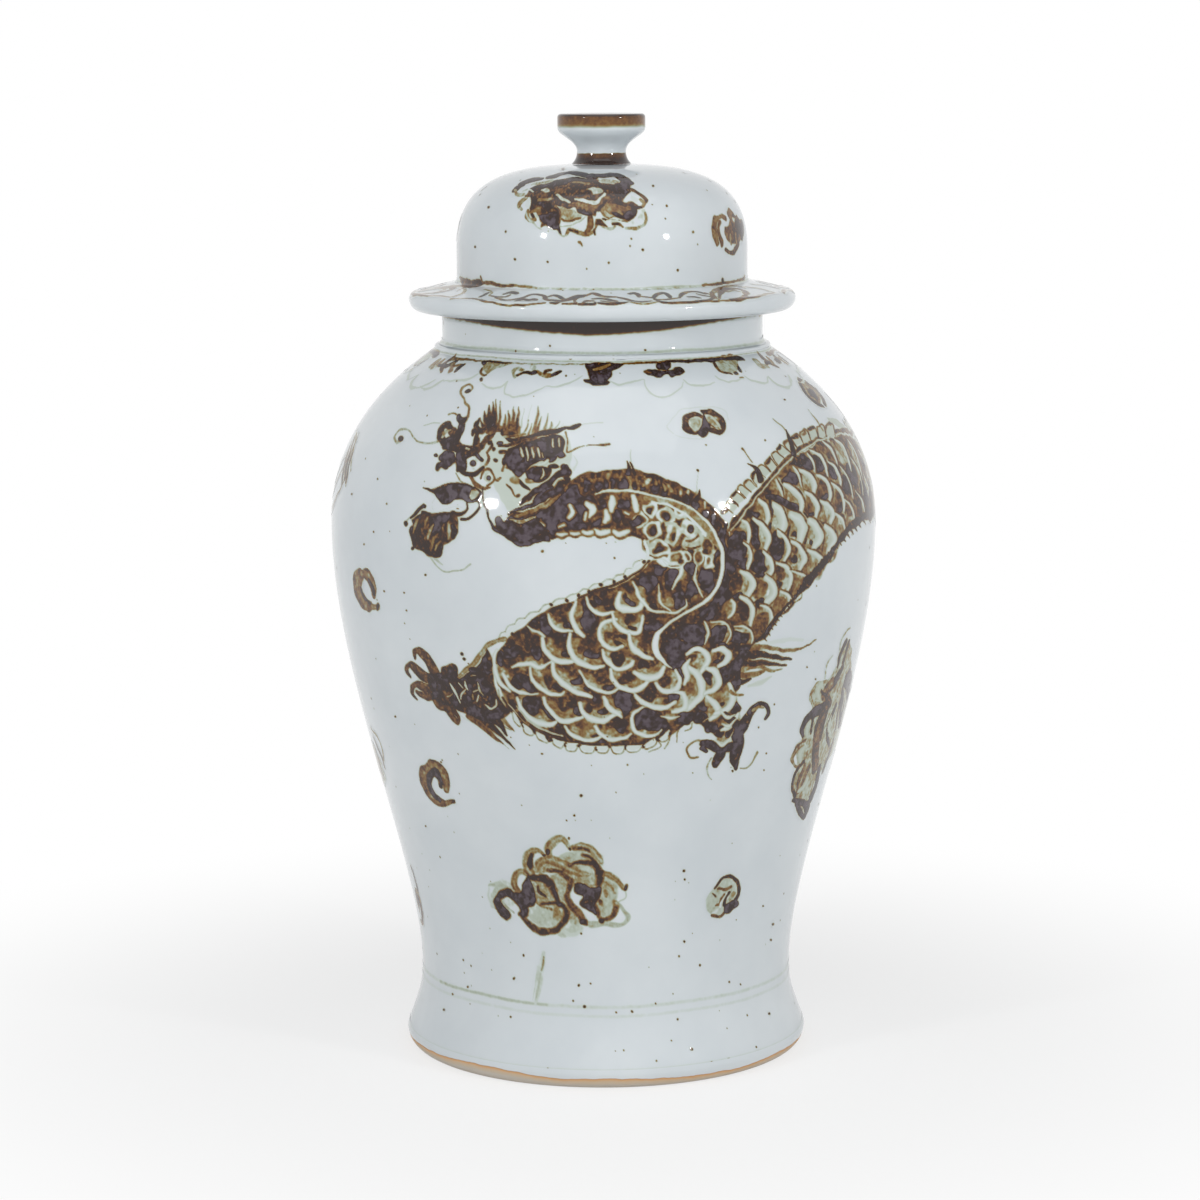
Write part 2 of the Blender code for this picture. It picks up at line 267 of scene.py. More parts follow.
def glaze(name, iron_bands=None, bare_foot=False):
    """Pale celadon over iron painting: clear and glossy, blue-white where it lies over bare porcelain.

    Iron under it runs from a green halo where it is thin, through honey and amber, to nearly black, and
    where it lies thickest it comes through the glaze as a dull purple-grey crust.
    """
    finish = bpy.data.materials.new(name)
    finish.use_nodes = True
    tree = finish.node_tree
    shader = tree.nodes["Principled BSDF"]
    place = node(tree, "ShaderNodeTexCoord").outputs["Object"]

    # How much iron lies here: painted on the mesh, or in bands round the axis; clouded 1 to 3 mm across
    if iron_bands is None:
        laid = node(tree, "ShaderNodeAttribute", attribute_name="iron").outputs["Fac"]
    else:
        laid = iron_bands(tree, place)
    cloud = node(tree, "ShaderNodeTexNoise", {"Vector": place}, Scale=420.0, Detail=3.0, Roughness=0.6)
    depth = node(tree, "ShaderNodeMapRange", {"Value": laid}, interpolation_type="SMOOTHSTEP",
                 From_Min=0.10, From_Max=0.45, To_Max=0.34)
    swing = node(tree, "ShaderNodeMath", {0: cloud.outputs["Fac"], 1: 0.5}, operation="SUBTRACT")
    iron = node(tree, "ShaderNodeMath", {0: swing.outputs[0], 1: depth.outputs[0], 2: laid},
                operation="MULTIPLY_ADD").outputs[0]

    # The clean glaze: blue-white, a little thicker and greener in clouds some 60 mm across
    drift = node(tree, "ShaderNodeTexNoise", {"Vector": place}, Scale=16.0, Detail=4.0, Roughness=0.55)
    clean = ramp(tree, drift.outputs["Fac"], (0.30, "#D1D8DC"), (0.70, "#DCE2E5"))

    # The iron through it: green halo, olive, honey, amber, brown, nearly black and purple-grey crust
    stain = ramp(
        tree, iron, (0.05, "#C3CEC4"), (0.14, "#A8B09C"), (0.21, "#978F68"), (0.30, "#8B713C"),
        (0.41, "#784F22"), (0.53, "#4E2D14"), (0.66, "#301C12"), (0.82, "#2E1C15"), (0.88, "#3B2C2F"),
        (0.94, "#4C3F46"), (1.0, "#55494F"),
    )
    shows = node(tree, "ShaderNodeMapRange", {"Value": iron}, interpolation_type="SMOOTHSTEP", From_Max=0.09)
    surface = node(tree, "ShaderNodeMix", {0: shows.outputs[0], 6: clean, 7: stain},
                   data_type="RGBA").outputs[2]

    # A fired glaze is glass: IOR 1.5 and a wet gloss, duller on the crust
    shader.inputs["IOR"].default_value = 1.5
    roughness = node(tree, "ShaderNodeMapRange", {"Value": iron}, From_Min=0.80, From_Max=0.95,
                     To_Min=0.06, To_Max=0.26).outputs[0]

    # Its surface: soft waves some 25 mm across from throwing and dipping, and orange peel of 1.5 mm
    waves = node(tree, "ShaderNodeTexNoise", {"Vector": place}, Scale=40.0, Detail=1.0)
    peel = node(tree, "ShaderNodeTexNoise", {"Vector": place}, Scale=650.0, Detail=1.0)
    rise = node(tree, "ShaderNodeBump", {"Height": waves.outputs["Fac"]}, Strength=0.35, Distance=0.0008)
    fine = node(tree, "ShaderNodeBump", {"Height": peel.outputs["Fac"], "Normal": rise.outputs[0]},
                Strength=0.25, Distance=0.00003)
    crust = node(tree, "ShaderNodeBump", {"Height": iron, "Normal": fine.outputs[0]},
                 Strength=0.5, Distance=0.00012)
    tree.links.new(crust.outputs[0], shader.inputs["Normal"])

    # At the foot the glaze was wiped off along a wavering line, and the bare clay took a tan flash beside it
    if bare_foot:
        height = node(tree, "ShaderNodeSeparateXYZ", {0: place}).outputs["Z"]
        sway = node(tree, "ShaderNodeTexNoise", {"Vector": place}, Scale=10.0, Detail=1.0)
        ripple = node(tree, "ShaderNodeTexNoise", {"Vector": place}, Scale=120.0, Detail=2.0)
        line = node(tree, "ShaderNodeMath", {0: sway.outputs["Fac"], 1: 0.0115, 2: -0.0016},
                    operation="MULTIPLY_ADD")
        held = node(tree, "ShaderNodeVectorMath", {0: place, 1: (-0.66, -0.75, 0.0)}, operation="DOT_PRODUCT")
        lean = node(tree, "ShaderNodeMapRange", {"Value": held.outputs["Value"]},
                    interpolation_type="SMOOTHSTEP", From_Min=0.060, From_Max=0.100, To_Max=0.0030)
        line = node(tree, "ShaderNodeMath", {0: line.outputs[0], 1: lean.outputs[0]}, operation="ADD")
        edge = node(tree, "ShaderNodeMath", {0: ripple.outputs["Fac"], 1: 0.0016, 2: line.outputs[0]},
                    operation="MULTIPLY_ADD")
        below = node(tree, "ShaderNodeMath", {0: edge.outputs[0], 1: height}, operation="SUBTRACT").outputs[0]
        bare = node(tree, "ShaderNodeMapRange", {"Value": below}, From_Min=-0.0001, From_Max=0.0002)
        depth = node(tree, "ShaderNodeMapRange", {"Value": below}, From_Max=0.004)
        clay = ramp(tree, depth.outputs[0], (0.0, "#A9773F"), (0.16, "#D6A574"), (0.42, "#D0B798"),
                    (1.0, "#C9C0B4"))
        surface = node(tree, "ShaderNodeMix", {0: bare.outputs[0], 6: surface, 7: clay},
                       data_type="RGBA").outputs[2]
        roughness = node(tree, "ShaderNodeMix", {0: bare.outputs[0], 2: roughness, 3: 0.65},
                         data_type="FLOAT").outputs[0]
    tree.links.new(surface, shader.inputs["Base Color"])
    tree.links.new(roughness, shader.inputs["Roughness"])
    return finish


def wavering_height(tree, place, scale):
    """The height above the foot, wavering by 0.8 mm up and down as a brushed edge does."""
    ripple = node(tree, "ShaderNodeTexNoise", {"Vector": place}, Scale=scale, Detail=2.0)
    sway = node(tree, "ShaderNodeMath", {0: ripple.outputs["Fac"], 1: 0.0016, 2: -0.0008},
                operation="MULTIPLY_ADD")
    height = node(tree, "ShaderNodeSeparateXYZ", {0: place}).outputs["Z"]
    return node(tree, "ShaderNodeMath", {0: height, 1: sway.outputs[0]}, operation="ADD").outputs[0]


def iron_mouth_and_painted_shadow(tree, place):
    """The lip of the neck that the lid sits on: brushed round with iron, and dark as painted shadow under the
    brim.
    """
    level = wavering_height(tree, place, 60.0)
    return node(tree, "ShaderNodeMapRange", {"Value": level}, interpolation_type="SMOOTHSTEP",
                From_Min=0.4030, From_Max=0.4044, To_Max=0.74).outputs[0]


celadon = glaze("celadon_glaze")
# The jar's glaze: its iron band at the mouth, partly painted shadow under the brim, and its bare foot
jar.data.materials.append(glaze("celadon_glaze_on_jar", iron_mouth_and_painted_shadow, bare_foot=True))
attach(jar, "jar")
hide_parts("lower_body", "shoulder", "neck_collar")


# The brushwork on the jar: iron oxide in water, painted on the raw glaze with a pointed brush, then
# fired into it. It is worked out on the wall laid flat, where a row is a step down the wall from the
# neck and a column a step round it from the front, and each cell holds how much iron lies there.
CELL = 0.00048
RAY_BEFORE, RAY_BEHIND, RAY_STEPS = 0.19, 0.02, 1400


class Wall:
    """A turned wall laid flat, with the iron that is painted on it."""

    def __init__(self, line, cell, widest, seed):
        steps = np.hypot(*np.diff(line, axis=0).T)
        run = np.concatenate([[0], np.cumsum(steps)])
        self.cell = cell
        self.run = np.arange(0, run[-1], cell)
        self.radius = np.interp(self.run, run, line[:, 0])
        self.height = np.interp(self.run, run, line[:, 1])
        fall = np.gradient(self.height, cell)
        reach = np.gradient(self.radius, cell)
        self.out = np.stack([-fall, reach], 1) / np.hypot(fall, reach)[:, None]
        self.columns = int(math.tau * widest / cell)
        self.turn = math.tau / self.columns
        self.iron = np.zeros((len(self.run), self.columns), np.float32)
        self.rng = np.random.default_rng(seed)
        self.drag = [self.grain(0.0042) for _ in range(2)]
        self.speckle = self.grain(0.0016)
        self.pool = self.grain(0.0050)

    def grain(self, size):
        """Smooth unevenness of about that size all over the wall, from -1 to 1 or so."""
        rough = np.fft.rfft2(self.rng.standard_normal(self.iron.shape).astype(np.float32))
        down = np.fft.fftfreq(self.iron.shape[0], self.cell)[:, None]
        round_ = np.fft.rfftfreq(self.iron.shape[1], self.cell)[None, :]
        kept = np.exp(-(down ** 2 + round_ ** 2) * (1.9 * size) ** 2)
        field = np.fft.irfft2(rough * kept, self.iron.shape)
        return (field / (1.6 * field.std())).astype(np.float32)

    def under(self, pixels):
        """Where the camera's rays through these pixels meet the wall: its angle and run."""
        pixels = np.asarray(pixels, float).reshape(-1, 2)
        across, down = (pixels - (FRAME_PIXELS / 2 + SHIFT_PIXELS, FRAME_PIXELS / 2)).T / FOCAL_PIXELS
        turn = -EYE_ROLL
        across, down = (across * math.cos(turn) - down * math.sin(turn),
                        across * math.sin(turn) + down * math.cos(turn))
        forward = math.cos(EYE_PITCH) - down * math.sin(EYE_PITCH)
        drop = math.sin(EYE_PITCH) + down * math.cos(EYE_PITCH)
        far = np.linspace(EYE_DISTANCE - RAY_BEFORE, EYE_DISTANCE + RAY_BEHIND, RAY_STEPS)[:, None]
        x, y, z = far * across, far * forward - EYE_DISTANCE, EYE_HEIGHT - far * drop
        clear = np.hypot(x, y) - np.interp(z, self.height[::-1], self.radius[::-1])
        hit = np.argmax(clear < 0, axis=0)
        missed = ~(clear < 0).any(axis=0)
        hit[missed] = np.argmin(clear[:, missed], axis=0)
        pick = (hit, np.arange(len(pixels)))
        run = np.interp(-z[pick], -self.height, self.run)
        return np.stack([np.arctan2(x[pick], -y[pick]), run], 1)

    def patch(self, angles, runs, spare, ragged):
        """The cells round some points: their rows and columns, the wall's radius there, their index, and
        their places across and down the wall in metres, wavering by so much as the brush drags."""
        top = max(int((min(runs) - spare) / self.cell), 0)
        foot = min(int((max(runs) + spare) / self.cell) + 2, len(self.run))
        radius = self.radius[(top + foot) // 2 if foot > top else 0]
        left = int((min(angles) - spare / radius) / self.turn)
        right = int((max(angles) + spare / radius) / self.turn) + 2
        rows, columns = np.arange(top, foot), np.arange(left, right)
        cells = np.ix_(rows, columns % self.columns)
        across = columns[None, :] * self.turn * radius + ragged * self.drag[0][cells]
        down = self.run[rows][:, None] + ragged * self.drag[1][cells]
        return rows, columns, radius, cells, across, down

    def lay(self, cells, laid, cover, soak):
        """Puts iron down as far as the brush covers: over what is there, or soaked into it."""
        cover = cover * cover * (3 - 2 * cover)
        old = self.iron[cells]
        if soak:
            self.iron[cells] = 1 - (1 - old) * (1 - laid * cover)
        else:
            self.iron[cells] = old + (laid - old) * cover

    def stroke(self, path, load, edge=None, soft=0.0005, ragged=0.0004, soak=False, uneven=0.0):
        """One stroke of the brush along a path of angle, run and width: loaded so much down its middle,
        and so much at its edge. It covers what is there, or soaks into it."""
        edge = load if edge is None else edge
        path = np.asarray(path, float)
        spare = path[:, 2].max() / 2 + soft + 3 * ragged
        rows, columns, radius, cells, across, down = self.patch(path[:, 0], path[:, 1], spare, ragged)
        if len(rows) == 0:
            return
        cover = np.zeros(across.shape, np.float32)
        inner = np.zeros(across.shape, np.float32)
        flat = columns * self.turn * radius
        x, y, half = path[:, 0] * radius, path[:, 1], path[:, 2] / 2
        for i in range(len(path) - 1):
            reach = max(half[i], half[i + 1]) + soft + 3 * ragged
            r0 = np.searchsorted(self.run[rows], min(y[i], y[i + 1]) - reach)
            r1 = np.searchsorted(self.run[rows], max(y[i], y[i + 1]) + reach)
            c0 = np.searchsorted(flat, min(x[i], x[i + 1]) - reach)
            c1 = np.searchsorted(flat, max(x[i], x[i + 1]) + reach)
            if r1 <= r0 or c1 <= c0:
                continue
            box = (slice(r0, r1), slice(c0, c1))
            dx, dy = x[i + 1] - x[i], y[i + 1] - y[i]
            along = np.clip(((across[box] - x[i]) * dx + (down[box] - y[i]) * dy) / (dx * dx + dy * dy + 1e-12),
                            0, 1)
            off = np.hypot(across[box] - x[i] - along * dx, down[box] - y[i] - along * dy)
            wide = half[i] + along * (half[i + 1] - half[i])
            cover[box] = np.maximum(cover[box], np.clip((wide - off) / soft + 0.5, 0, 1))
            inner[box] = np.maximum(inner[box], 1 - off / (wide + 1e-6))
        laid = edge + (load - edge) * np.clip(inner, 0, 1) ** 0.7
        if uneven:
            laid = np.clip(laid + uneven * (0.6 * self.speckle[cells] + 0.4 * self.pool[cells]), 0, 1)
        self.lay(cells, laid, cover, soak)

    def wash(self, outline, load, soft=0.0008, ragged=0.0006, uneven=0.0, soak=False, fine=0.5):
        """Fills a shape of angle and run with iron, uneven in pools and specks."""
        outline = np.asarray(outline, float)[:, :2]
        rows, columns, radius, cells, across, down = self.patch(*outline.T, soft + 3 * ragged, ragged)
        if len(rows) == 0:
            return
        x, y = outline[:, 0] * radius, outline[:, 1]
        inside = np.zeros(across.shape, bool)
        off = np.full(across.shape, 9.0, np.float32)
        for i in range(len(outline)):
            x0, y0, x1, y1 = x[i - 1], y[i - 1], x[i], y[i]
            if y0 != y1:
                crosses = ((y0 > down) != (y1 > down)) & (across < (x1 - x0) * (down - y0) / (y1 - y0) + x0)
                inside ^= crosses
            dx, dy = x1 - x0, y1 - y0
            along = np.clip(((across - x0) * dx + (down - y0) * dy) / (dx * dx + dy * dy + 1e-12), 0, 1)
            off = np.minimum(off, np.hypot(across - x0 - along * dx, down - y0 - along * dy))
        cover = np.clip(np.where(inside, off, -off) / soft + 0.5, 0, 1)
        laid = load + uneven * (fine * self.speckle[cells] + (1 - fine) * self.pool[cells])
        self.lay(cells, np.clip(laid, 0, 1), cover, soak)


def eased(points, gap=1.4):
    """A smooth line through a few points, with a point every gap or so; further columns run along."""
    points = np.asarray(points, float)
    if len(points) == 2:
        points = np.stack([points[0], points.mean(0), points[1]])
    ends = np.concatenate([[2 * points[0] - points[1]], points, [2 * points[-1] - points[-2]]])
    line = []
    for a, b, c, d in zip(ends, ends[1:], ends[2:], ends[3:]):
        count = max(2, int(np.hypot(*(c - b)[:2]) / gap))
        t = np.linspace(0, 1, count, endpoint=False)[:, None]
        line.append(0.5 * (2 * b + (c - a) * t + (2 * a - 5 * b + 4 * c - d) * t ** 2
                           + (3 * b - a - 3 * c + d) * t ** 3))
    return np.concatenate(line + [points[-1:]])


PIXEL = EYE_DISTANCE / FOCAL_PIXELS


def brushed(wall, place, points, load, edge=None, **how):
    """A stroke through points of x, y and width, both its edges set on the wall by place."""
    line = eased(points)
    lean = np.gradient(line[:, :2], axis=0)
    side = np.stack([-lean[:, 1], lean[:, 0]], 1) * (line[:, 2] / 2 / (np.hypot(*lean.T) + 1e-9))[:, None]
    one, other = place(line[:, :2] + side), place(line[:, :2] - side)
    middle = (one[:, :2] + other[:, :2]) / 2
    radius = np.interp(middle[:, 1], wall.run, wall.radius)
    width = np.hypot((one[:, 0] - other[:, 0]) * radius, one[:, 1] - other[:, 1])
    wall.stroke(np.column_stack([middle, np.minimum(width, 2.2 * PIXEL * line[:, 2])]), load, edge, **how)


def filled(wall, place, points, load, **how):
    """A shape with a smooth edge through points of x and y, filled with iron."""
    points = list(points)
    line = eased(points + points[:1], 2.0)
    wall.wash(place(line), load, **how)


neck_line = np.array([(COLLAR_RADIUS, 0.4065), (COLLAR_RADIUS, 0.3925), (0.0872, 0.3892), (0.0884, 0.3878),
                      (0.0905, 0.3868), (0.0911, 0.3852)])
jar_wall = Wall(np.concatenate([neck_line, outer_wall]), CELL, BELLY_RADIUS, 11)
front = jar_wall.under


def jar_line(place, points, load, edge=None, **how):
    """A stroke on the jar through points of x, y and width."""
    brushed(jar_wall, place, points, load, edge, **how)


# The dragon, right across the front: a scaly body that loops behind its own neck, rises over the right
# flank and goes on round the back. The ground colour goes down first, then the honey bloom inside each
# scale, then its dark heart, and last the pale crescents, which are wiped out with the brush's tip.
def tapered(points, width, ends=0.35):
    """Points with their widths, drawn out finer towards both ends."""
    count = len(points)
    share = [ends + (1 - ends) * math.sin(math.pi * i / (count - 1)) ** 0.7 for i in range(count)]
    return [(x, y, width * s) for (x, y), s in zip(points, share)]


def oval(x, y, across, down, turn=0.0, count=10):
    """The outline of an oval blot."""
    angles = [math.tau * i / count for i in range(count)]
    c, s = math.cos(math.radians(turn)), math.sin(math.radians(turn))
    return [(x + across * math.cos(a) * c - down * math.sin(a) * s,
             y + across * math.cos(a) * s + down * math.sin(a) * c) for a in angles]


def blot(wall, place, x, y, across, down, load, turn=0.0, soft=0.0012, ragged=0.0013, uneven=0.12):
    """An oval dab of the brush, given by its middle and its half sizes."""
    filled(wall, place, oval(x, y, across, down, turn), load, soft=soft, ragged=ragged, uneven=uneven)


def bloomed(wall, place, points, width, load=0.24, depth=1.1):
    """The honey bloom that gathers inside the crescent of a scale."""
    points = np.asarray(points, float)
    centre = (points[0] + points[-1]) / 2
    reach = np.hypot(*(centre - points[len(points) // 2]))
    inward = points + (centre - points) * min(0.5, depth * width / (reach + 1))
    brushed(wall, place, tapered([tuple(p) for p in inward], width * 3.0, 0.6), load, load + 0.12,
            soft=0.0026, ragged=0.0012, uneven=0.14)


def wiped(wall, place, points, width, load=0.03, ends=0.5):
    """A line of glaze left almost bare, where the brush's tip took the iron off again."""
    brushed(wall, place, tapered(points, width * 1.15, ends), load, load + 0.07, soft=0.0010, ragged=0.0004)


def edged(wall, place, points, width):
    """The thin brown line that is left along the outside of a crescent."""
    points = np.asarray(points, float)
    centre = (points[0] + points[-1]) / 2
    reach = np.hypot(*(points - centre).T).reshape(-1, 1)
    outward = points + (points - centre) / (reach + 1) * (width * 0.5 + 0.9)
    brushed(wall, place, tapered([tuple(p) for p in outward], 1.7, 0.5), 0.56, 0.50, soft=0.0008, ragged=0.0003)


neck_ground = [
    (500, 524), (512, 512), (530, 508), (546, 497), (556, 487), (566, 480), (580, 474), (600, 471),
    (626, 469), (646, 473), (666, 480), (686, 490), (702, 500), (714, 512), (724, 528), (729, 550),
    (728, 575), (720, 594), (706, 612), (684, 622), (660, 634), (648, 628), (640, 602), (640, 576),
    (646, 562), (647, 551), (643, 542), (634, 537), (618, 535), (600, 536), (585, 536), (570, 537),
    (558, 537), (546, 538), (536, 541), (526, 545), (518, 544), (508, 540), (500, 536), (490, 528),
]
belly_ground = [
    (494, 655), (503, 641), (514, 632), (526, 622), (540, 613), (556, 605), (574, 599), (592, 592),
    (612, 586), (630, 578), (644, 566), (658, 570), (690, 600), (716, 588), (728, 556), (736, 530),
    (748, 560), (756, 600), (766, 616), (758, 638), (746, 650), (738, 664), (738, 682), (732, 696),
    (737, 712), (728, 733), (716, 738), (704, 730), (694, 720), (682, 724), (670, 734), (654, 739),
    (636, 743), (604, 744), (572, 742), (548, 737), (530, 728), (514, 714), (503, 697), (494, 678),
]
flank_ground = [
    (727, 532), (738, 517), (750, 503), (764, 488), (778, 472), (794, 457), (812, 445), (830, 438),
    (846, 435), (856, 446), (863, 466), (867, 490), (868, 517), (858, 522), (848, 530), (838, 539),
    (830, 552), (820, 566), (808, 582), (798, 594), (785, 607), (775, 620), (764, 635), (752, 642),
    (742, 628), (736, 600), (730, 570),
]
filled(jar_wall, front, neck_ground, 0.57, uneven=0.20)
filled(jar_wall, front, belly_ground, 0.60, uneven=0.20)
filled(jar_wall, front, flank_ground, 0.52, uneven=0.20)

# Each scale: the points of its crescent and how wide the crescent is
belly_scales = [
    ([(584, 597), (586, 606), (592, 612), (600, 614), (610, 612)], 4.2),
    ([(617, 592), (614, 600), (616, 607), (626, 610), (636, 608), (640, 600)], 6),
    ([(630, 582), (634, 590), (638, 599), (643, 606), (650, 611), (661, 613)], 3.6),
    ([(573, 601), (570, 611), (570, 621), (574, 630), (581, 636)], 5),
    ([(546, 615), (548, 622), (553, 628), (560, 631), (569, 631)], 4.2),
    ([(524, 626), (530, 630), (536, 632), (541, 637)], 2.6),
    ([(509, 667), (517, 664), (526, 664), (534, 668), (542, 666), (549, 661)], 4),
    ([(539, 638), (541, 648), (547, 656), (556, 661), (568, 662), (576, 660)], 5),
    ([(568, 634), (566, 645), (570, 656), (578, 663), (589, 667), (601, 666)], 5.2),
    ([(613, 619), (604, 621), (597, 629), (597, 638), (603, 645), (611, 648), (619, 645)], 4.6),
    ([(609, 613), (611, 622), (617, 629), (626, 633), (635, 632), (639, 624), (640, 616)], 4.4),
    ([(627, 635), (628, 644), (634, 652), (642, 657), (650, 658)], 5),
    ([(600, 650), (602, 658), (608, 664), (617, 668), (627, 666), (630, 661)], 4.6),
    ([(527, 668), (529, 678), (535, 687), (545, 693), (556, 695), (561, 692)], 3.8),
    ([(550, 663), (552, 672), (558, 681), (566, 688), (576, 693), (588, 697)], 5.2),
    ([(577, 671), (582, 680), (588, 687), (598, 691), (608, 692), (616, 689)], 3.8),
    ([(608, 669), (610, 679), (616, 686), (624, 690), (634, 690), (642, 686), (646, 680)], 5.4),
    ([(631, 672), (639, 677), (648, 678), (656, 675), (661, 667)], 6),
    ([(500, 674), (505, 683), (512, 690), (522, 694), (535, 694)], 3.8),
    ([(514, 698), (518, 708), (525, 716), (535, 722), (546, 725), (553, 722)], 5),
    ([(541, 698), (545, 708), (552, 716), (561, 721), (570, 721), (579, 717)], 5),
    ([(576, 703), (580, 712), (588, 718), (598, 721), (608, 718), (615, 713)], 5.4),
    ([(601, 697), (604, 706), (610, 712), (618, 717)], 5),
    ([(632, 695), (640, 702), (650, 707), (662, 707), (672, 702)], 5),
    ([(640, 708), (632, 713), (629, 721), (633, 730), (641, 736), (651, 736), (658, 730)], 3.6),
    ([(562, 726), (568, 734), (578, 739), (590, 740), (599, 736)], 4.2),
    ([(592, 726), (598, 734), (608, 739), (620, 738), (629, 733)], 4.2),
    ([(494, 650), (491, 661), (493, 674), (499, 684), (507, 691)], 4.2),
    ([(497, 687), (500, 699), (506, 708)], 3),
    ([(653, 683), (657, 688), (665, 691), (673, 689), (677, 680), (673, 670)], 5),
    ([(658, 716), (668, 718), (677, 716)], 2.4),
    ([(684, 654), (692, 649), (701, 651), (705, 659), (701, 667), (697, 674)], 5.4),
    ([(710, 650), (718, 649), (725, 653), (723, 661), (715, 667)], 6),
    ([(668, 612), (660, 606), (657, 596), (655, 584)], 2.4),
    ([(661, 613), (672, 613), (682, 606), (683, 600)], 2.6),
    ([(680, 563), (678, 571), (674, 580), (670, 588)], 3.8),
    ([(697, 560), (693, 570), (692, 580), (696, 590), (700, 597)], 2.4),
    ([(683, 667), (692, 672), (698, 682), (699, 692), (694, 701), (684, 708), (674, 710)], 6.5),
    ([(672, 692), (680, 694), (683, 702), (680, 709), (670, 712)], 5),
    ([(703, 668), (712, 672), (716, 681), (711, 689), (702, 694)], 6),
    ([(704, 697), (712, 704), (715, 712), (708, 719)], 6),
    ([(726, 684), (730, 694), (728, 704), (722, 711), (712, 713)], 6),
    ([(718, 730), (725, 728), (731, 722), (735, 714)], 5),
    ([(714, 743), (722, 744), (730, 737)], 5),
    ([(687, 660), (682, 667), (684, 676), (682, 684)], 5),
]
flank_scales = [
    ([(739, 520), (745, 525), (747, 534), (744, 544)], 5),
    ([(740, 543), (746, 549), (748, 558), (745, 569)], 4.6),
    ([(738, 572), (746, 576), (750, 585), (744, 597)], 8),
    ([(736, 598), (745, 601), (750, 610), (748, 624)], 6.4),
    ([(731, 626), (740, 625), (747, 630), (750, 638), (749, 643)], 2.8),
    ([(708, 622), (718, 621), (725, 627), (728, 636), (724, 643)], 2.8),
    ([(701, 621), (705, 627), (706, 635), (702, 643)], 3.2),
    ([(728, 600), (732, 605), (731, 612), (725, 618)], 4.4),
    ([(757, 500), (763, 507), (766, 517), (762, 526)], 6.4),
    ([(751, 519), (760, 526), (766, 537), (762, 552)], 6.6),
    ([(761, 552), (768, 560), (769, 570), (764, 577)], 5.4),
    ([(763, 578), (770, 585), (771, 594), (763, 603)], 9),
    ([(757, 606), (766, 609), (769, 619), (764, 629)], 4),
    ([(772, 506), (778, 512), (781, 523), (777, 534)], 11),
    ([(775, 532), (783, 539), (786, 549), (781, 561)], 5.4),
    ([(774, 563), (783, 567), (788, 577), (784, 590)], 5),
    ([(778, 591), (785, 595), (787, 603), (781, 610)], 4.6),
    ([(775, 480), (778, 487), (780, 494)], 6),
    ([(782, 484), (791, 490), (798, 500), (798, 511)], 7.4),
    ([(789, 515), (796, 519), (800, 528), (797, 541)], 12),
    ([(789, 542), (797, 548), (802, 558), (796, 570)], 6),
    ([(789, 571), (798, 573), (805, 578)], 4.6),
    ([(791, 467), (796, 475), (799, 487)], 4.4),
    ([(797, 470), (806, 475), (811, 483), (811, 491)], 7),
    ([(802, 493), (811, 498), (815, 507), (813, 517)], 5.6),
    ([(806, 521), (813, 526), (817, 536), (811, 549)], 10),
    ([(805, 551), (814, 555), (818, 562), (811, 573)], 6),
    ([(805, 453), (810, 461), (812, 471)], 3.6),
    ([(807, 450), (817, 455), (822, 464), (825, 475)], 4),
    ([(814, 475), (823, 480), (827, 490), (827, 501)], 5),
    ([(818, 501), (825, 505), (830, 512), (828, 521)], 6.4),
    ([(822, 526), (829, 532), (831, 540), (825, 551)], 7),
    ([(820, 441), (828, 448), (833, 458), (835, 467)], 3.8),
    ([(826, 462), (833, 468), (837, 478), (838, 489)], 3.6),
    ([(829, 483), (837, 490), (841, 500), (841, 511)], 3.8),
    ([(833, 513), (839, 518), (842, 527)], 4.4),
    ([(832, 439), (840, 446), (845, 458), (848, 470)], 3.4),
    ([(838, 467), (844, 475), (848, 486), (850, 497)], 3),
    ([(842, 500), (848, 506), (851, 516), (851, 524)], 3),
    ([(844, 439), (852, 452), (857, 466), (859, 478)], 2.8),
    ([(848, 458), (855, 470), (859, 484), (860, 494)], 2.4),
    ([(853, 491), (859, 500), (862, 513)], 2.6),
    ([(855, 446), (861, 462), (865, 480)], 2),
    ([(860, 472), (865, 488), (867, 503)], 2),
]
for points, width in belly_scales:
    bloomed(jar_wall, front, points, width)
for points, width in flank_scales:
    bloomed(jar_wall, front, points, width * 1.15, load=0.20)

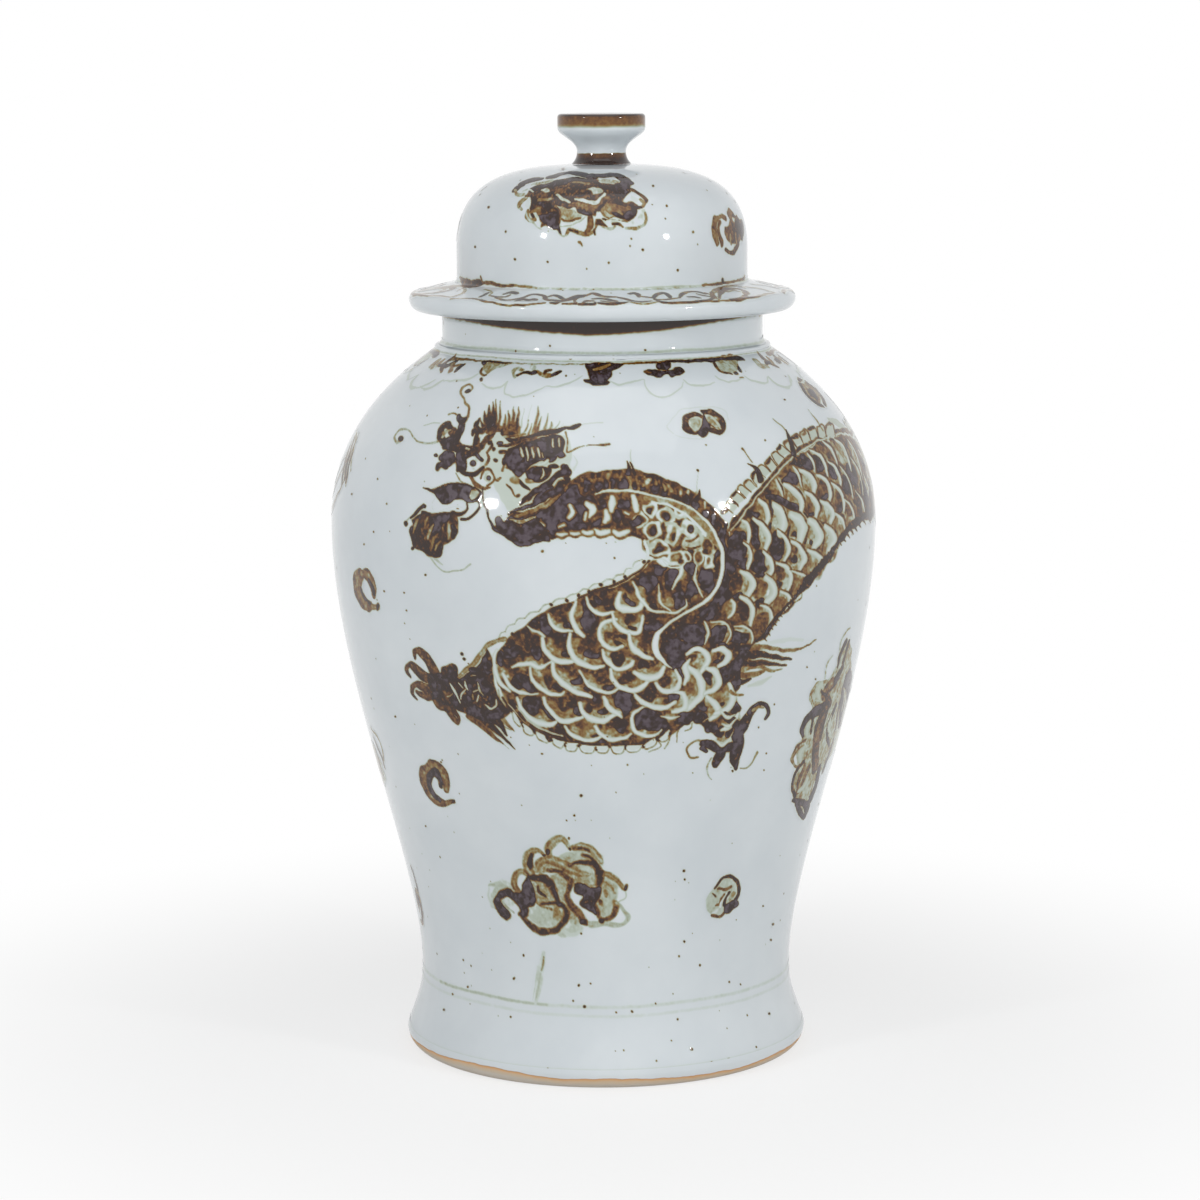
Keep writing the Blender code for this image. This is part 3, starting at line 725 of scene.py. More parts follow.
# Dark hearts, and crusts of purple where the brush was fullest: place, half sizes, load, turn
for x, y, across, down, load, *turn in (
    (534, 654, 5, 9, 0.96), (508, 650, 8, 10, 0.80), (498, 660, 4, 8, 0.95), (517, 681, 10, 9, 0.86, 20),
    (526, 688, 6, 5, 0.97), (585, 622, 7, 12, 0.94), (582, 608, 4, 7, 0.80), (567, 625, 5, 4, 0.93),
    (560, 615, 5, 6, 0.62), (541, 626, 5, 8, 0.95), (533, 622, 4, 4, 0.75), (563, 654, 5, 4, 0.93),
    (589, 655, 6, 4, 0.92), (580, 647, 6, 6, 0.50), (573, 680, 6, 5, 0.90), (583, 690, 4, 3, 0.92),
    (604, 687, 6, 3, 0.90), (555, 688, 5, 4, 0.94), (545, 684, 8, 3, 0.66, 50), (620, 703, 10, 12, 0.97, -20),
    (645, 721, 13, 11, 0.90), (640, 716, 5, 5, 0.97), (650, 727, 5, 4, 0.97), (617, 723, 9, 8, 0.84),
    (598, 738, 6, 4, 0.94), (546, 715, 5, 9, 0.93, -35), (530, 706, 10, 8, 0.82), (573, 712, 4, 6, 0.95),
    (568, 701, 5, 6, 0.72), (560, 706, 3, 5, 0.70), (602, 712, 5, 3, 0.92), (586, 706, 6, 5, 0.66),
    (596, 600, 4, 4, 0.82), (607, 609, 5, 3, 0.86), (590, 604, 4, 4, 0.68), (627, 604, 4, 5, 0.93),
    (623, 598, 3, 5, 0.70), (624, 622, 4, 4, 0.80), (631, 627, 4, 3, 0.88), (651, 608, 4, 6, 0.93),
    (647, 598, 4, 6, 0.72), (652, 626, 9, 6, 0.95), (645, 583, 8, 8, 0.97), (608, 637, 5, 5, 0.56),
    (617, 642, 3, 3, 0.84), (640, 646, 5, 5, 0.56), (642, 655, 4, 3, 0.88), (616, 657, 8, 6, 0.76),
    (640, 665, 6, 5, 0.82), (622, 678, 6, 5, 0.66), (645, 697, 7, 5, 0.78), (662, 680, 6, 6, 0.60),
    (670, 696, 5, 7, 0.94), (664, 703, 4, 5, 0.60), (700, 705, 5, 5, 0.86), (686, 690, 7, 6, 0.36),
    (690, 659, 6, 5, 0.60), (705, 675, 6, 5, 0.72), (704, 681, 4, 4, 0.93), (676, 665, 8, 5, 0.96, -20),
    (680, 676, 4, 7, 0.90), (715, 697, 7, 6, 0.36), (717, 705, 3, 3, 0.85), (733, 708, 6, 6, 0.90),
    (714, 657, 4, 4, 0.50), (714, 665, 5, 3, 0.88), (722, 668, 5, 14, 0.97), (733, 664, 5, 12, 0.97, 30),
    (690, 634, 14, 13, 1.0), (672, 652, 9, 12, 0.90), (664, 645, 5, 9, 0.78), (715, 634, 8, 10, 0.95),
    (738, 637, 8, 8, 0.88), (706, 612, 12, 7, 0.86, -40), (722, 590, 5, 16, 0.92, 8), (728, 556, 6, 16, 0.97),
    (735, 548, 6, 12, 0.96), (740, 563, 5, 6, 1.0), (738, 536, 6, 4, 0.98), (732, 522, 5, 7, 0.86),
    (718, 648, 10, 4, 0.95), (690, 648, 12, 5, 0.97), (660, 726, 8, 8, 0.88), (683, 718, 7, 6, 0.95),
    (700, 718, 8, 6, 0.90, 30), (708, 728, 5, 6, 0.88), (717, 732, 5, 6, 0.90), (727, 730, 4, 5, 0.80),
    (656, 566, 7, 8, 0.98), (668, 579, 7, 9, 0.98, 20), (688, 567, 8, 10, 0.98), (703, 580, 8, 12, 0.98),
    (674, 600, 8, 9, 0.88), (689, 592, 6, 10, 0.96, 20), (705, 552, 4, 7, 0.70), (712, 556, 4, 14, 0.94),
    (664, 600, 3, 5, 0.34), (698, 612, 14, 5, 0.60, -35), (754, 514, 4, 4, 0.97), (752, 535, 5, 14, 0.72, -8),
    (753, 541, 4, 6, 0.96), (757, 562, 8, 13, 0.82), (757, 577, 6, 3, 0.95), (734, 584, 5, 8, 0.60),
    (733, 598, 5, 4, 0.92), (757, 590, 8, 9, 0.48), (756, 604, 5, 5, 0.86), (740, 608, 7, 10, 0.66),
    (759, 622, 7, 11, 0.52, 10), (773, 545, 7, 12, 0.78), (773, 556, 5, 4, 0.96), (777, 572, 5, 7, 0.56),
    (775, 584, 4, 5, 0.92), (793, 585, 6, 9, 0.40, 20), (776, 604, 6, 8, 0.44, 30), (791, 550, 3, 4, 0.50),
    (792, 560, 4, 5, 0.88), (806, 505, 5, 8, 0.44), (810, 515, 5, 3, 0.90), (818, 490, 5, 9, 0.50),
    (821, 498, 4, 4, 0.90), (835, 500, 5, 12, 0.48), (838, 509, 3, 4, 0.92), (810, 543, 3.4, 3, 0.84),
    (792, 535, 2.6, 3, 0.84), (806, 559, 3, 5, 0.34), (788, 480, 7, 9, 0.96, -35), (782, 498, 4, 6, 0.60),
    (803, 461, 5, 8, 0.90, -30), (795, 463, 5, 4, 0.72), (815, 464, 6, 10, 0.86, -28),
    (830, 471, 4, 10, 0.86, -22), (848, 475, 4, 13, 0.94, -18), (843, 486, 4, 10, 0.84, -15),
    (861, 492, 3, 15, 0.92, -10), (826, 452, 3, 8, 0.50, -20), (818, 446, 5, 3, 0.56),
    (838, 455, 3, 9, 0.22, -20), (852, 458, 2, 9, 0.24, -18), (845, 509, 5, 9, 0.56, -15),
    (855, 503, 4, 11, 0.62, -15), (865, 508, 2, 8, 0.90), (836, 530, 5, 8, 0.28, -10),
):
    blot(jar_wall, front, x, y, across, down, load, *turn)
for points, width, load in (
    ([(764, 497), (773, 498), (783, 503), (793, 509), (802, 516)], 7, 0.97),
    ([(767, 500), (768, 512), (767, 528)], 4.5, 0.97),
    ([(802, 516), (812, 520), (822, 525), (830, 531)], 3, 0.70),
    ([(785, 514), (786, 526), (785, 540)], 2.5, 0.72),
    ([(803, 520), (804, 532), (802, 543)], 2.5, 0.70),
    ([(819, 526), (820, 538), (819, 550)], 2, 0.56),
    ([(723, 524), (719, 540), (721, 560), (720, 585), (712, 602), (698, 615)], 6, 0.90),
):
    jar_line(front, tapered(points, width, 0.6), load)

for points, width in belly_scales:
    wiped(jar_wall, front, points, width * 1.04, 0.035, ends=0.6)
for points, width in flank_scales:
    wiped(jar_wall, front, points, width * 0.94, 0.05, ends=0.6)
    edged(jar_wall, front, points, width * 0.90)

# The inside of the bend is all small cells: a ring of bare glaze inside a brown line, and a heart of
# honey or brown
filled(jar_wall, front, [
    (640, 500), (656, 500), (672, 505), (690, 514), (702, 528), (709, 544), (712, 560), (704, 568), (696, 564),
    (684, 562), (672, 569), (660, 566), (648, 566), (644, 556), (638, 540), (634, 528), (638, 515),
], 0.52, soft=0.0009, uneven=0.12)
for x, y, across, down, *turn in (
    (648, 509, 6.5, 6.5), (663, 517, 7, 8), (678, 513, 6, 6, 30), (649, 530, 7, 8.5, 20), (670, 535, 8, 9),
    (686, 528, 7.5, 8), (656, 548, 7.5, 8), (672, 558, 9, 8), (690, 543, 8.5, 6, -15), (704, 547, 6.5, 10, -15),
    (708, 562, 4, 6), (645, 546, 3.4, 4.6), (637, 520, 4, 6), (645, 560, 3.6, 4), (697, 556, 3.6, 7),
    (659, 564, 5, 3), (684, 557, 3.6, 4), (699, 532, 3.4, 5, -20),
):
    blot(jar_wall, front, x, y, across + 1.8, down + 1.8, 0.06, *turn, soft=0.0010)
for x, y, across, down, load, *turn in (
    (648, 509, 4, 4.4, 0.44), (648, 510, 2.6, 3, 0.96), (641, 500, 6, 4, 0.42), (662, 517, 5, 6, 0.46),
    (664, 518, 3, 4, 0.94), (648, 530, 5, 6.4, 0.44, 20), (650, 532, 3.4, 4, 0.84), (686, 527, 4, 4, 0.94),
    (669, 536, 5.4, 6.6, 0.44), (671, 536, 3.2, 5, 0.90), (656, 548, 5.4, 6, 0.50), (656, 549, 3.4, 4, 0.90),
    (672, 557, 6.6, 5.6, 0.40), (672, 556, 4, 3.4, 0.16), (678, 562, 2, 2, 0.88), (689, 550, 3, 2, 0.80),
    (704, 547, 4, 7, 0.46, -15), (703, 552, 3, 3, 0.76), (645, 545, 1.8, 2, 0.85), (645, 553, 1.8, 1.8, 0.80),
    (644, 563, 2.4, 2.4, 0.78), (678, 512, 3, 3, 0.40), (695, 560, 2, 3, 0.10), (637, 521, 3, 4, 0.95),
    (633, 512, 5, 3, 0.55), (675, 524, 2, 2.4, 0.66), (660, 526, 2, 2.4, 0.60), (697, 556, 2.6, 4.4, 0.50, -15),
    (708, 562, 2.4, 4, 0.52), (684, 558, 2, 2.4, 0.62), (712, 549, 1.6, 4, 0.60, -15),
):
    blot(jar_wall, front, x, y, across, down, load, *turn, soft=0.0014)
for points, width, load in (
    ([(683, 541), (688, 540), (695, 536)], 2.2, 0.50),
    ([(684, 547), (690, 548), (697, 545)], 2.2, 0.52),
    ([(660, 562), (668, 568), (678, 567), (684, 561)], 2.4, 0.06),
    ([(641, 560), (650, 560), (660, 560), (668, 565)], 2, 0.06),
):
    jar_line(front, tapered(points, width, 0.6), load)

# The neck's scales, and the gaps of bare glaze between them
for x, y, across, down, load in (
    (600, 504, 5, 5, 0.96), (619, 504, 7, 4, 0.97), (613, 516, 6, 7, 0.97), (596, 523, 6, 4, 0.96),
    (593, 514, 4, 3, 0.40), (634, 523, 5, 3, 0.94), (630, 515, 5, 3, 0.42), (578, 508, 8, 14, 1.0),
    (570, 500, 8, 16, 1.0), (566, 520, 7, 10, 0.98), (577, 528, 7, 6, 0.95), (556, 512, 8, 12, 0.97),
    (585, 500, 6, 5, 0.90), (548, 524, 9, 9, 0.98), (530, 530, 12, 9, 1.0), (512, 530, 10, 7, 0.97),
    (520, 541, 6, 3, 0.94),
):
    blot(jar_wall, front, x, y, across, down, load)
for points, width in (
    ([(609, 497), (609, 503), (609, 510)], 6.5), ([(630, 497), (632, 503), (634, 511)], 6.5),
    ([(584, 503), (590, 509), (587, 515)], 7), ([(603, 511), (604, 518), (602, 523)], 5),
    ([(583, 513), (582, 519)], 4), ([(567, 507), (569, 513), (566, 518)], 4.5), ([(622, 512), (626, 514)], 3),
    ([(538, 524), (541, 526)], 3), ([(556, 527), (562, 525)], 3), ([(592, 531), (598, 534), (607, 531)], 5),
    ([(611, 531), (617, 534), (625, 531)], 5), ([(567, 533), (572, 534.5), (577, 533.5)], 3.6),
    ([(554, 533.5), (559, 535), (564, 534)], 3.4), ([(580, 532), (584, 534), (589, 532.5)], 4),
):
    jar_line(front, tapered(points, width + 5, 0.7), 0.40, 0.50, soft=0.0010)
    wiped(jar_wall, front, points, width, ends=0.7)

# The crest along the neck's back, in short upright dabs
for x, y, load in (
    (586, 486, 0.98), (595, 486, 0.97), (603, 484, 0.98), (612, 485, 0.97), (622, 486, 0.98), (631, 485, 0.97),
    (640, 487, 0.90), (650, 490, 0.97), (661, 493, 0.97), (671, 497, 0.96), (682, 501, 0.97), (692, 505, 0.98),
    (702, 512, 0.97), (710, 520, 0.98), (716, 530, 0.96),
):
    blot(jar_wall, front, x, y, 3.2, 5.5, load)
for x, y, load in (
    (590, 478, 0.36), (608, 477, 0.32), (620, 476, 0.40), (636, 477, 0.34), (645, 480, 0.05), (656, 483, 0.28),
    (666, 487, 0.20), (676, 491, 0.10), (684, 494, 0.10), (598, 492, 0.40), (693, 496, 0.30), (702, 504, 0.12),
    (582, 479, 0.38), (599, 476.5, 0.40), (614, 477, 0.36), (627, 478, 0.34), (641, 484, 0.32),
    (651, 484, 0.30), (661, 487, 0.24), (671, 490, 0.34), (580, 492, 0.44), (608, 488, 0.42),
    (617, 488.5, 0.42), (626.5, 488, 0.40), (635.5, 489, 0.40),
):
    blot(jar_wall, front, x, y, 2.0, 3.4, load, soft=0.0014)
for points in (
    [(625, 474, 4), (626, 468, 3), (624, 461, 1)], [(632, 474, 3), (630, 469, 2), (627, 462, 1)],
    [(693, 500, 6), (696, 496, 4), (697, 491, 1.5)], [(720, 512, 5), (728, 505, 4), (734, 500, 1)],
):
    jar_line(front, points, 0.62, soak=True)
for points in ([(694, 494, 1), (694, 484, 1), (695, 470, 0.6)], [(628, 462, 1.2), (627, 450, 0.8)]):
    jar_line(front, points, 0.10)

# The ridge line that runs down the middle of the neck and closes the belly
jar_line(front, [(642, 498, 3), (660, 502, 6), (680, 509, 7), (700, 523, 8), (712, 540, 7), (718, 552, 4)],
         0.26)
jar_line(front,
         [(592, 494, 1.5), (602, 491, 3), (616, 490.5, 3.2), (632, 491.5, 3.2), (648, 495.5, 2.4),
          (664, 499, 2.4), (680, 504, 2.4), (694, 512, 2.6), (706, 524, 3), (714, 538, 3.4), (719, 552, 4.2),
          (719.5, 566, 4.4), (717, 580, 4.4), (711, 592, 4.4), (700, 603, 4), (686, 611, 3.2), (672, 619, 3),
          (660, 628, 4), (654, 636, 6), (652, 646, 7.5), (655, 655, 6), (661, 662, 4), (669, 668, 1.5)],
         0.02, 0.06, soft=0.0007, ragged=0.0002)
jar_line(front, [(648, 502, 1.5), (664, 505, 2.2), (680, 513, 2.6), (694, 524, 3), (702, 536, 2.5)], 0.04)


# The edge of the belly: a row of pale beads between two lines, with a dot where each pair meets
jar_line(front,
         [(644, 562, 1.6), (636, 571, 2), (622, 580, 2.4), (604, 587, 2.4), (586, 593, 2.2), (576, 598, 2)],
         0.62, soak=True)
jar_line(front,
         [(641, 541, 3), (645, 549, 4), (642, 560, 4.4), (633, 568, 4.4), (622, 574, 4.2), (610, 580, 4),
          (598, 585, 4.2), (584, 590, 4.4), (570, 596, 4.6), (556, 602, 4.6), (543, 608, 4.6), (530, 615, 4.6),
          (519, 622, 4.4), (509, 630, 4.2), (500, 638, 3.6)],
         0.03, 0.05)
bead_joints = [(640, 561), (631, 569), (622, 576), (611, 582), (599, 586), (587, 591), (576, 595), (564, 600),
               (549, 606), (536, 614), (523, 620), (513, 626), (504, 634), (497, 641)]
for (x0, y0), (x1, y1) in zip(bead_joints, bead_joints[1:]):
    wide, tall = x1 - x0, y1 - y0
    far = math.hypot(wide, tall)
    out = (tall / far * 4.6, -wide / far * 4.6)
    out = (-abs(out[0]) if abs(out[0]) < 4.6 else out[0], -abs(out[1]))
    jar_line(front,
             [(x0 + out[0] * 0.5, y0 + out[1] * 0.5, 1), ((x0 + x1) / 2 + out[0], (y0 + y1) / 2 + out[1], 1.5),
              (x1 + out[0] * 0.5, y1 + out[1] * 0.5, 1)],
             0.17, 0.12, soak=True)
for x, y in [(598, 585), (611, 582), (622, 577), (576, 595), (564, 600), (587, 591), (548, 605), (530, 621),
             (510, 634), (640, 562)]:
    blot(jar_wall, front, x, y, 1.6, 1.7, 0.80, soft=0.0007, ragged=0.0004)

# Under the belly the plates lie flat, each a thin scallop with its joint dotted dark
jar_line(front,
         [(500, 697, 2), (508, 710, 3), (520, 723, 3.4), (535, 732, 3.4), (552, 738, 3), (575, 742, 3),
          (600, 744, 3), (625, 744, 3), (645, 741, 3), (660, 736, 3)],
         0.66, 0.50)
jar_line(front, [(513, 706, 1), (524, 719, 2), (540, 729, 2.4), (560, 736, 1.6)], 0.12)
scallops = [(508, 715), (518, 726), (532, 735), (548, 741), (561, 747), (576, 749), (592, 750), (607, 750),
            (622, 750), (639, 748), (655, 741), (668, 733)]
for (x0, y0), (x1, y1) in zip(scallops, scallops[1:]):
    jar_line(front,
             [(x0, y0 - 3, 1.2), (x0 + (x1 - x0) * 0.2, y0 + (y1 - y0) * 0.2 + 2.4, 1.5),
              ((x0 + x1) / 2, (y0 + y1) / 2 + 3.6, 1.7),
              (x0 + (x1 - x0) * 0.8, y0 + (y1 - y0) * 0.8 + 2.4, 1.5), (x1, y1 - 3, 1.2)],
             0.24, 0.16, soak=True)
    jar_line(front, [(x0 + 2, y0 - 2.5, 2), ((x0 + x1) / 2, (y0 + y1) / 2 - 1, 5), (x1 - 2, y1 - 2.5, 2)], 0.05)
    blot(jar_wall, front, x1, y1 - 3, 1.5, 2.4, 0.70, soft=0.0008)
for points in ([(668, 733, 1), (664, 742, 1.6), (661, 749, 1)], [(676, 727, 2), (674, 735, 1.6), (674, 742, 1)],
               [(690, 722, 1), (688, 728, 1.4), (682, 731, 1)],
               [(655, 741, 1), (657, 747, 1.2), (646, 752, 1)]):
    jar_line(front, points, 0.26, soak=True)

# The flank's own ridge and crest: a pale line between two brown ones, under a comb of little square fins
jar_line(front,
         [(726, 530, 4), (740, 513, 5.4), (757, 492, 5.6), (774, 472, 5.6), (793, 453, 6), (811, 441, 5.6),
          (829, 434, 5), (845, 432, 4), (853, 438, 3)],
         0.62, 0.48, uneven=0.2)
jar_line(front,
         [(728, 531, 1.6), (735, 521, 2), (743, 511, 2), (751, 501, 2), (759, 491, 2), (767, 481, 2),
          (776, 471.5, 2), (786, 461, 2.2), (796, 452.5, 2.2), (806, 445.5, 2.2), (816, 440.5, 2),
          (829, 436, 1.8), (842, 433.5, 1.6), (852, 438, 1.4)],
         0.03, 0.07, soft=0.0009)
for x, y, lean, dark in ((727, 505, -52, 0.3), (732, 497, -50, 0.7), (739, 490, -48, 0), (746, 484, -46, 0.5),
                         (752, 476, -45, 0.8), (759, 469, -45, 0), (766, 463, -44, 0.6), (773, 456, -42, 0),
                         (779, 450, -41, 0.8), (786, 444, -38, 0.5), (793, 438, -32, 0.7), (801, 434, -25, 0.4),
                         (809, 431, -17, 0.6), (818, 429, -10, 0), (827, 428, -5, 0.5)):
    c, s = math.cos(math.radians(lean)), math.sin(math.radians(lean))
    fin = [(-4.2, 8, 0.9), (-4.0, 0, 1.1), (-2.8, -3.6, 1.3), (2.8, -3.6, 1.3), (4.0, 0, 1.1), (4.2, 8, 0.9)]
    filled(jar_wall, front, [(x + u * c - v * s, y + u * s + v * c) for u, v, _ in fin], 0.09, soft=0.0012)
    jar_line(front, [(x + u * c - v * s, y + u * s + v * c, w) for u, v, w in fin], 0.46, 0.34, soak=True)
    if dark:
        blot(jar_wall, front, x + 2.5 * s, y - 2.5 * c, 3.2, 1.6, dark, lean, soft=0.0010)
for points, load in (
    ([(783, 430, 1), (786, 437, 3), (789, 445, 4), (791, 454, 5)], 0.70),
    ([(745, 463, 1), (750, 467, 2.6), (755, 472, 5), (758, 480, 5)], 0.72),
    ([(770, 419, 0.8), (777, 425, 1.2), (783, 431, 1.4)], 0.22),
    ([(739, 449, 2.4), (742, 452, 1.2), (749, 462, 0.8)], 0.30),
    ([(805, 410, 0.8), (813, 420, 1.4), (820, 430, 1.2)], 0.20),
    ([(826, 420, 3), (836, 424, 5), (842, 428, 3)], 0.10),
):
    jar_line(front, points, load, soak=True)

# Its far edge: a thick dark line with short bristles, and a few beads near the bottom
jar_line(front,
         [(868, 514, 4), (861, 517, 4.6), (853, 522, 4.6), (846, 528, 4.4), (839, 536, 4.4), (832, 547, 4),
          (825, 557, 5), (816, 568, 6), (808, 579, 7), (800, 588, 6), (792, 596, 3), (785, 604, 2.6),
          (777, 613, 3), (769, 622, 3), (762, 632, 3), (755, 641, 3)],
         0.80, 0.62, ragged=0.0008)
for i in range(30):
    t = i / 29
    x, y = 866 - 104 * t ** 0.9, 519 + 118 * t ** 1.15
    jar_line(front, [(x - 1, y - 1, 1.6), (x + 1.6, y + 3.2, 0.5)], 0.60, soak=True)
for points in ([(799, 591, 1), (798, 599, 1.4), (790, 603, 1.2)],
               [(788, 601, 1), (786, 610, 1.4), (778, 614, 1.2)],
               [(776, 613, 1), (774, 622, 1.4), (766, 627, 1.2)], [(765, 627, 1), (762, 636, 1.2)]):
    jar_line(front, points, 0.28, soak=True)


# The head, turned left with its mouth open: pale green ground, then horns, eye, gills and beard.
filled(jar_wall, front,
       [(478, 442), (492, 432), (520, 436), (552, 434), (566, 440), (568, 462), (562, 480), (545, 500),
        (520, 512), (505, 508), (495, 494), (486, 478), (476, 470), (472, 452)],
       0.07)
for points, load, edge in (
    ([(398, 440, 3.2), (394, 442, 2.6), (392, 437, 1.8), (396, 431, 1.8), (402, 428.5, 2), (407, 432, 2),
      (411, 438, 2), (417, 442, 2), (426, 443.5, 2), (437, 441, 3)],
     0.20, 0.14),
    ([(467, 391, 2), (470, 387, 1.8), (466, 384, 1.8), (461, 386, 2.4), (458, 391, 2.2), (459, 397, 2.2),
      (463, 402, 2.6), (466, 408, 2.4), (465, 414, 2.2), (462, 422, 3)],
     0.34, 0.24),
    ([(421, 426, 1), (430, 423, 1), (437, 423, 1)], 0.10, 0.10),
    ([(446, 414, 1.6), (451, 413, 1.6), (455, 416, 2)], 0.34, 0.3),
    ([(428, 558, 2), (433, 565, 1.8), (440, 570, 1.6), (450, 572, 1.6), (460, 570, 1.8), (468, 565, 2)],
     0.16, 0.10),
    ([(432, 559, 3), (440, 564, 1)], 0.12, 0.10), ([(577, 425, 1), (590, 423, 1), (600, 422, 1)], 0.08, 0.07),
    ([(564, 452, 1.2), (573, 449, 1.8), (581, 446, 1)], 0.28, 0.2),
    ([(583, 446, 0.9), (592, 445, 0.9), (600, 445, 2.4), (607, 444, 2)], 0.60, 0.30),
    ([(563, 433, 2), (564, 442, 1.4), (564, 451, 1.6)], 0.40, 0.30),
    ([(565, 429, 2), (571, 427, 4.4), (577, 424.5, 2.4)], 0.82, 0.7),
    ([(570, 470, 3), (574, 463, 2), (570, 455, 1)], 0.06, 0.05),
    ([(408, 518, 1.6), (414, 512, 3), (421, 505.5, 3)], 0.82, 0.6),
    ([(404, 522, 1.2), (407, 518, 1.4), (411, 514, 1)], 0.24, 0.2),
):
    jar_line(front, points, load, edge, soak=True)
for x, y, across, down, turn in ((398, 438.5, 2.4, 2.6, 0), (465, 391, 3.4, 2.0, -35), (403, 524.5, 2, 2.4, 0),
                                 (433, 455.5, 1.8, 1.8, 0), (421.5, 506, 2, 2.2, 0), (410, 548, 1.6, 1.6, 0),
                                 (454, 508, 2.2, 1.8, 0)):
    blot(jar_wall, front, x, y, across, down, 0.84, turn, soft=0.0007, ragged=0.0004)

# Horns and brow
for points, load in (
    ([(440, 442, 9), (438, 434, 6), (441, 426, 6), (447, 427, 6), (451, 434, 7)], 0.74),
    ([(456, 417, 6), (458, 425, 7.5), (456, 433, 8), (453, 441, 9), (457, 449, 8)], 0.86),
    ([(442, 446, 7), (452, 448, 8), (462, 449, 8), (470, 450, 8), (478, 446, 6)], 0.76),
    ([(473, 450, 7), (474, 441, 6), (476, 433, 6), (473, 426, 5), (477, 419, 2.4)], 0.76),
    ([(478, 446, 5), (484, 440, 5), (489, 433, 4.6)], 0.74),
    ([(476, 434, 4), (472, 430, 4), (470, 434, 3)], 0.72),
    ([(458, 452, 10), (458, 460, 11), (460, 468, 9)], 0.80),
):
    jar_line(front, points, load, load - 0.14, uneven=0.14, ragged=0.0007)
jar_line(front, [(439, 437, 2), (443, 432, 3.4), (448, 430, 1.6)], 0.20)
jar_line(front, [(463, 448, 2.4), (466, 449, 2.6)], 0.12)
for x, y, across, down, load, *turn in (
    (446, 441, 6, 5, 0.97), (443, 457, 8, 6, 0.98), (440, 466, 6, 4.5, 1.0), (447, 460, 5, 6, 0.97),
    (457, 457, 4, 7, 0.97), (455, 466, 4, 5, 0.96), (458, 425, 3, 7, 0.92), (481, 433, 3, 5, 0.05),
):
    blot(jar_wall, front, x, y, across, down, load, *turn)

# The eye: a bare ring round a dark pupil, under a heavy lid
jar_line(front, [(461, 458, 4), (466, 455, 4.4), (473, 455, 4), (479, 460, 3.4)], 0.84, 0.7)
jar_line(front, [(455, 468, 4), (462, 473, 4.6), (471, 474, 4.6), (480, 468, 3.6)], 0.84, 0.7)
blot(jar_wall, front, 470.5, 463.5, 6.2, 6.0, 0.03, soft=0.0008, ragged=0.0004)
blot(jar_wall, front, 470, 463.5, 2.8, 2.8, 0.95, soft=0.0008, ragged=0.0004)
jar_line(front, [(478, 478, 2), (481, 471, 2.6), (487, 470, 2.6), (492, 475, 2), (491, 481, 2), (485, 485, 2)],
         0.50, 0.4)
blot(jar_wall, front, 485.5, 477.5, 4.4, 4.6, 0.03, soft=0.0008, ragged=0.0004)
blot(jar_wall, front, 486.5, 477.5, 2.0, 2.2, 0.93, soft=0.0007, ragged=0.0003)
for points, load in (
    ([(453, 473, 1.4), (458, 481, 1.8), (464, 485, 1)], 0.26),
    ([(466, 474, 3), (471, 482, 4), (479, 488, 4), (487, 487, 2)], 0.46),
    ([(484, 452, 2), (489, 446, 2.4), (488, 441, 2)], 0.50),
    ([(483, 465, 3), (486, 458, 3), (484, 453, 2)], 0.28), ([(494, 481, 3), (497, 478, 2)], 0.60),
    ([(504, 484, 1.6), (509, 490, 1.8), (512, 495, 1.4)], 0.5),
    ([(516, 480, 3), (521, 486, 3.4), (527, 490, 1.6)], 0.66), ([(500, 470, 2), (503, 462, 2)], 0.30),
):
    jar_line(front, points, load, soak=True)
for x, y, across, down, load in (
    (497, 443, 3, 2, 0.82), (487, 443, 2, 2, 0.74), (491, 449, 2, 1.6, 0.70), (501, 452, 4.4, 1.8, 0.76),
    (493, 460, 2, 2, 0.72), (502, 461, 2.4, 3, 0.80), (515, 495, 2, 1.6, 0.6),
):
    blot(jar_wall, front, x, y, across, down, load, soft=0.0008, ragged=0.0005)

# The mane stands up behind the brow in dry, quick strokes
for tip, root, width, load in (
    ((478, 418), (480, 432), 4, 0.64), ((482, 411), (484, 428), 5, 0.66), ((486, 405), (487, 426), 5, 0.66),
    ((490, 402), (490, 424), 4, 0.60), ((493, 400), (492, 426), 3.4, 0.50), ((498, 401), (496, 428), 3, 0.42),
    ((503, 414), (501, 432), 3.4, 0.46), ((506, 410), (505, 434), 4, 0.50), ((511, 406), (508, 434), 5, 0.52),
    ((516, 407), (512, 434), 4.4, 0.46), ((514, 414), (516, 438), 4, 0.40), ((526, 420), (519, 439), 2.6, 0.30),
    ((529, 423), (525, 437), 2.4, 0.32), ((535, 406), (531, 434), 3.4, 0.40), ((538, 417), (534, 433), 3, 0.42),
    ((545, 414), (542, 431), 2.6, 0.34), ((549, 422), (546, 431), 2.4, 0.30),
    ((556, 421), (550, 430), 1.8, 0.18), ((560, 424), (554, 430), 1.4, 0.10),
    ((521, 409), (518, 428), 1.4, 0.12), ((528, 405), (523, 428), 1.4, 0.08),
):
    middle = ((tip[0] + root[0]) / 2 + 0.6, (tip[1] + root[1]) / 2)
    jar_line(front, [(*tip, 0.7), (*middle, width * 0.8), (*root, width * 1.3)],
             load, load * 0.7, soak=True, soft=0.0010)
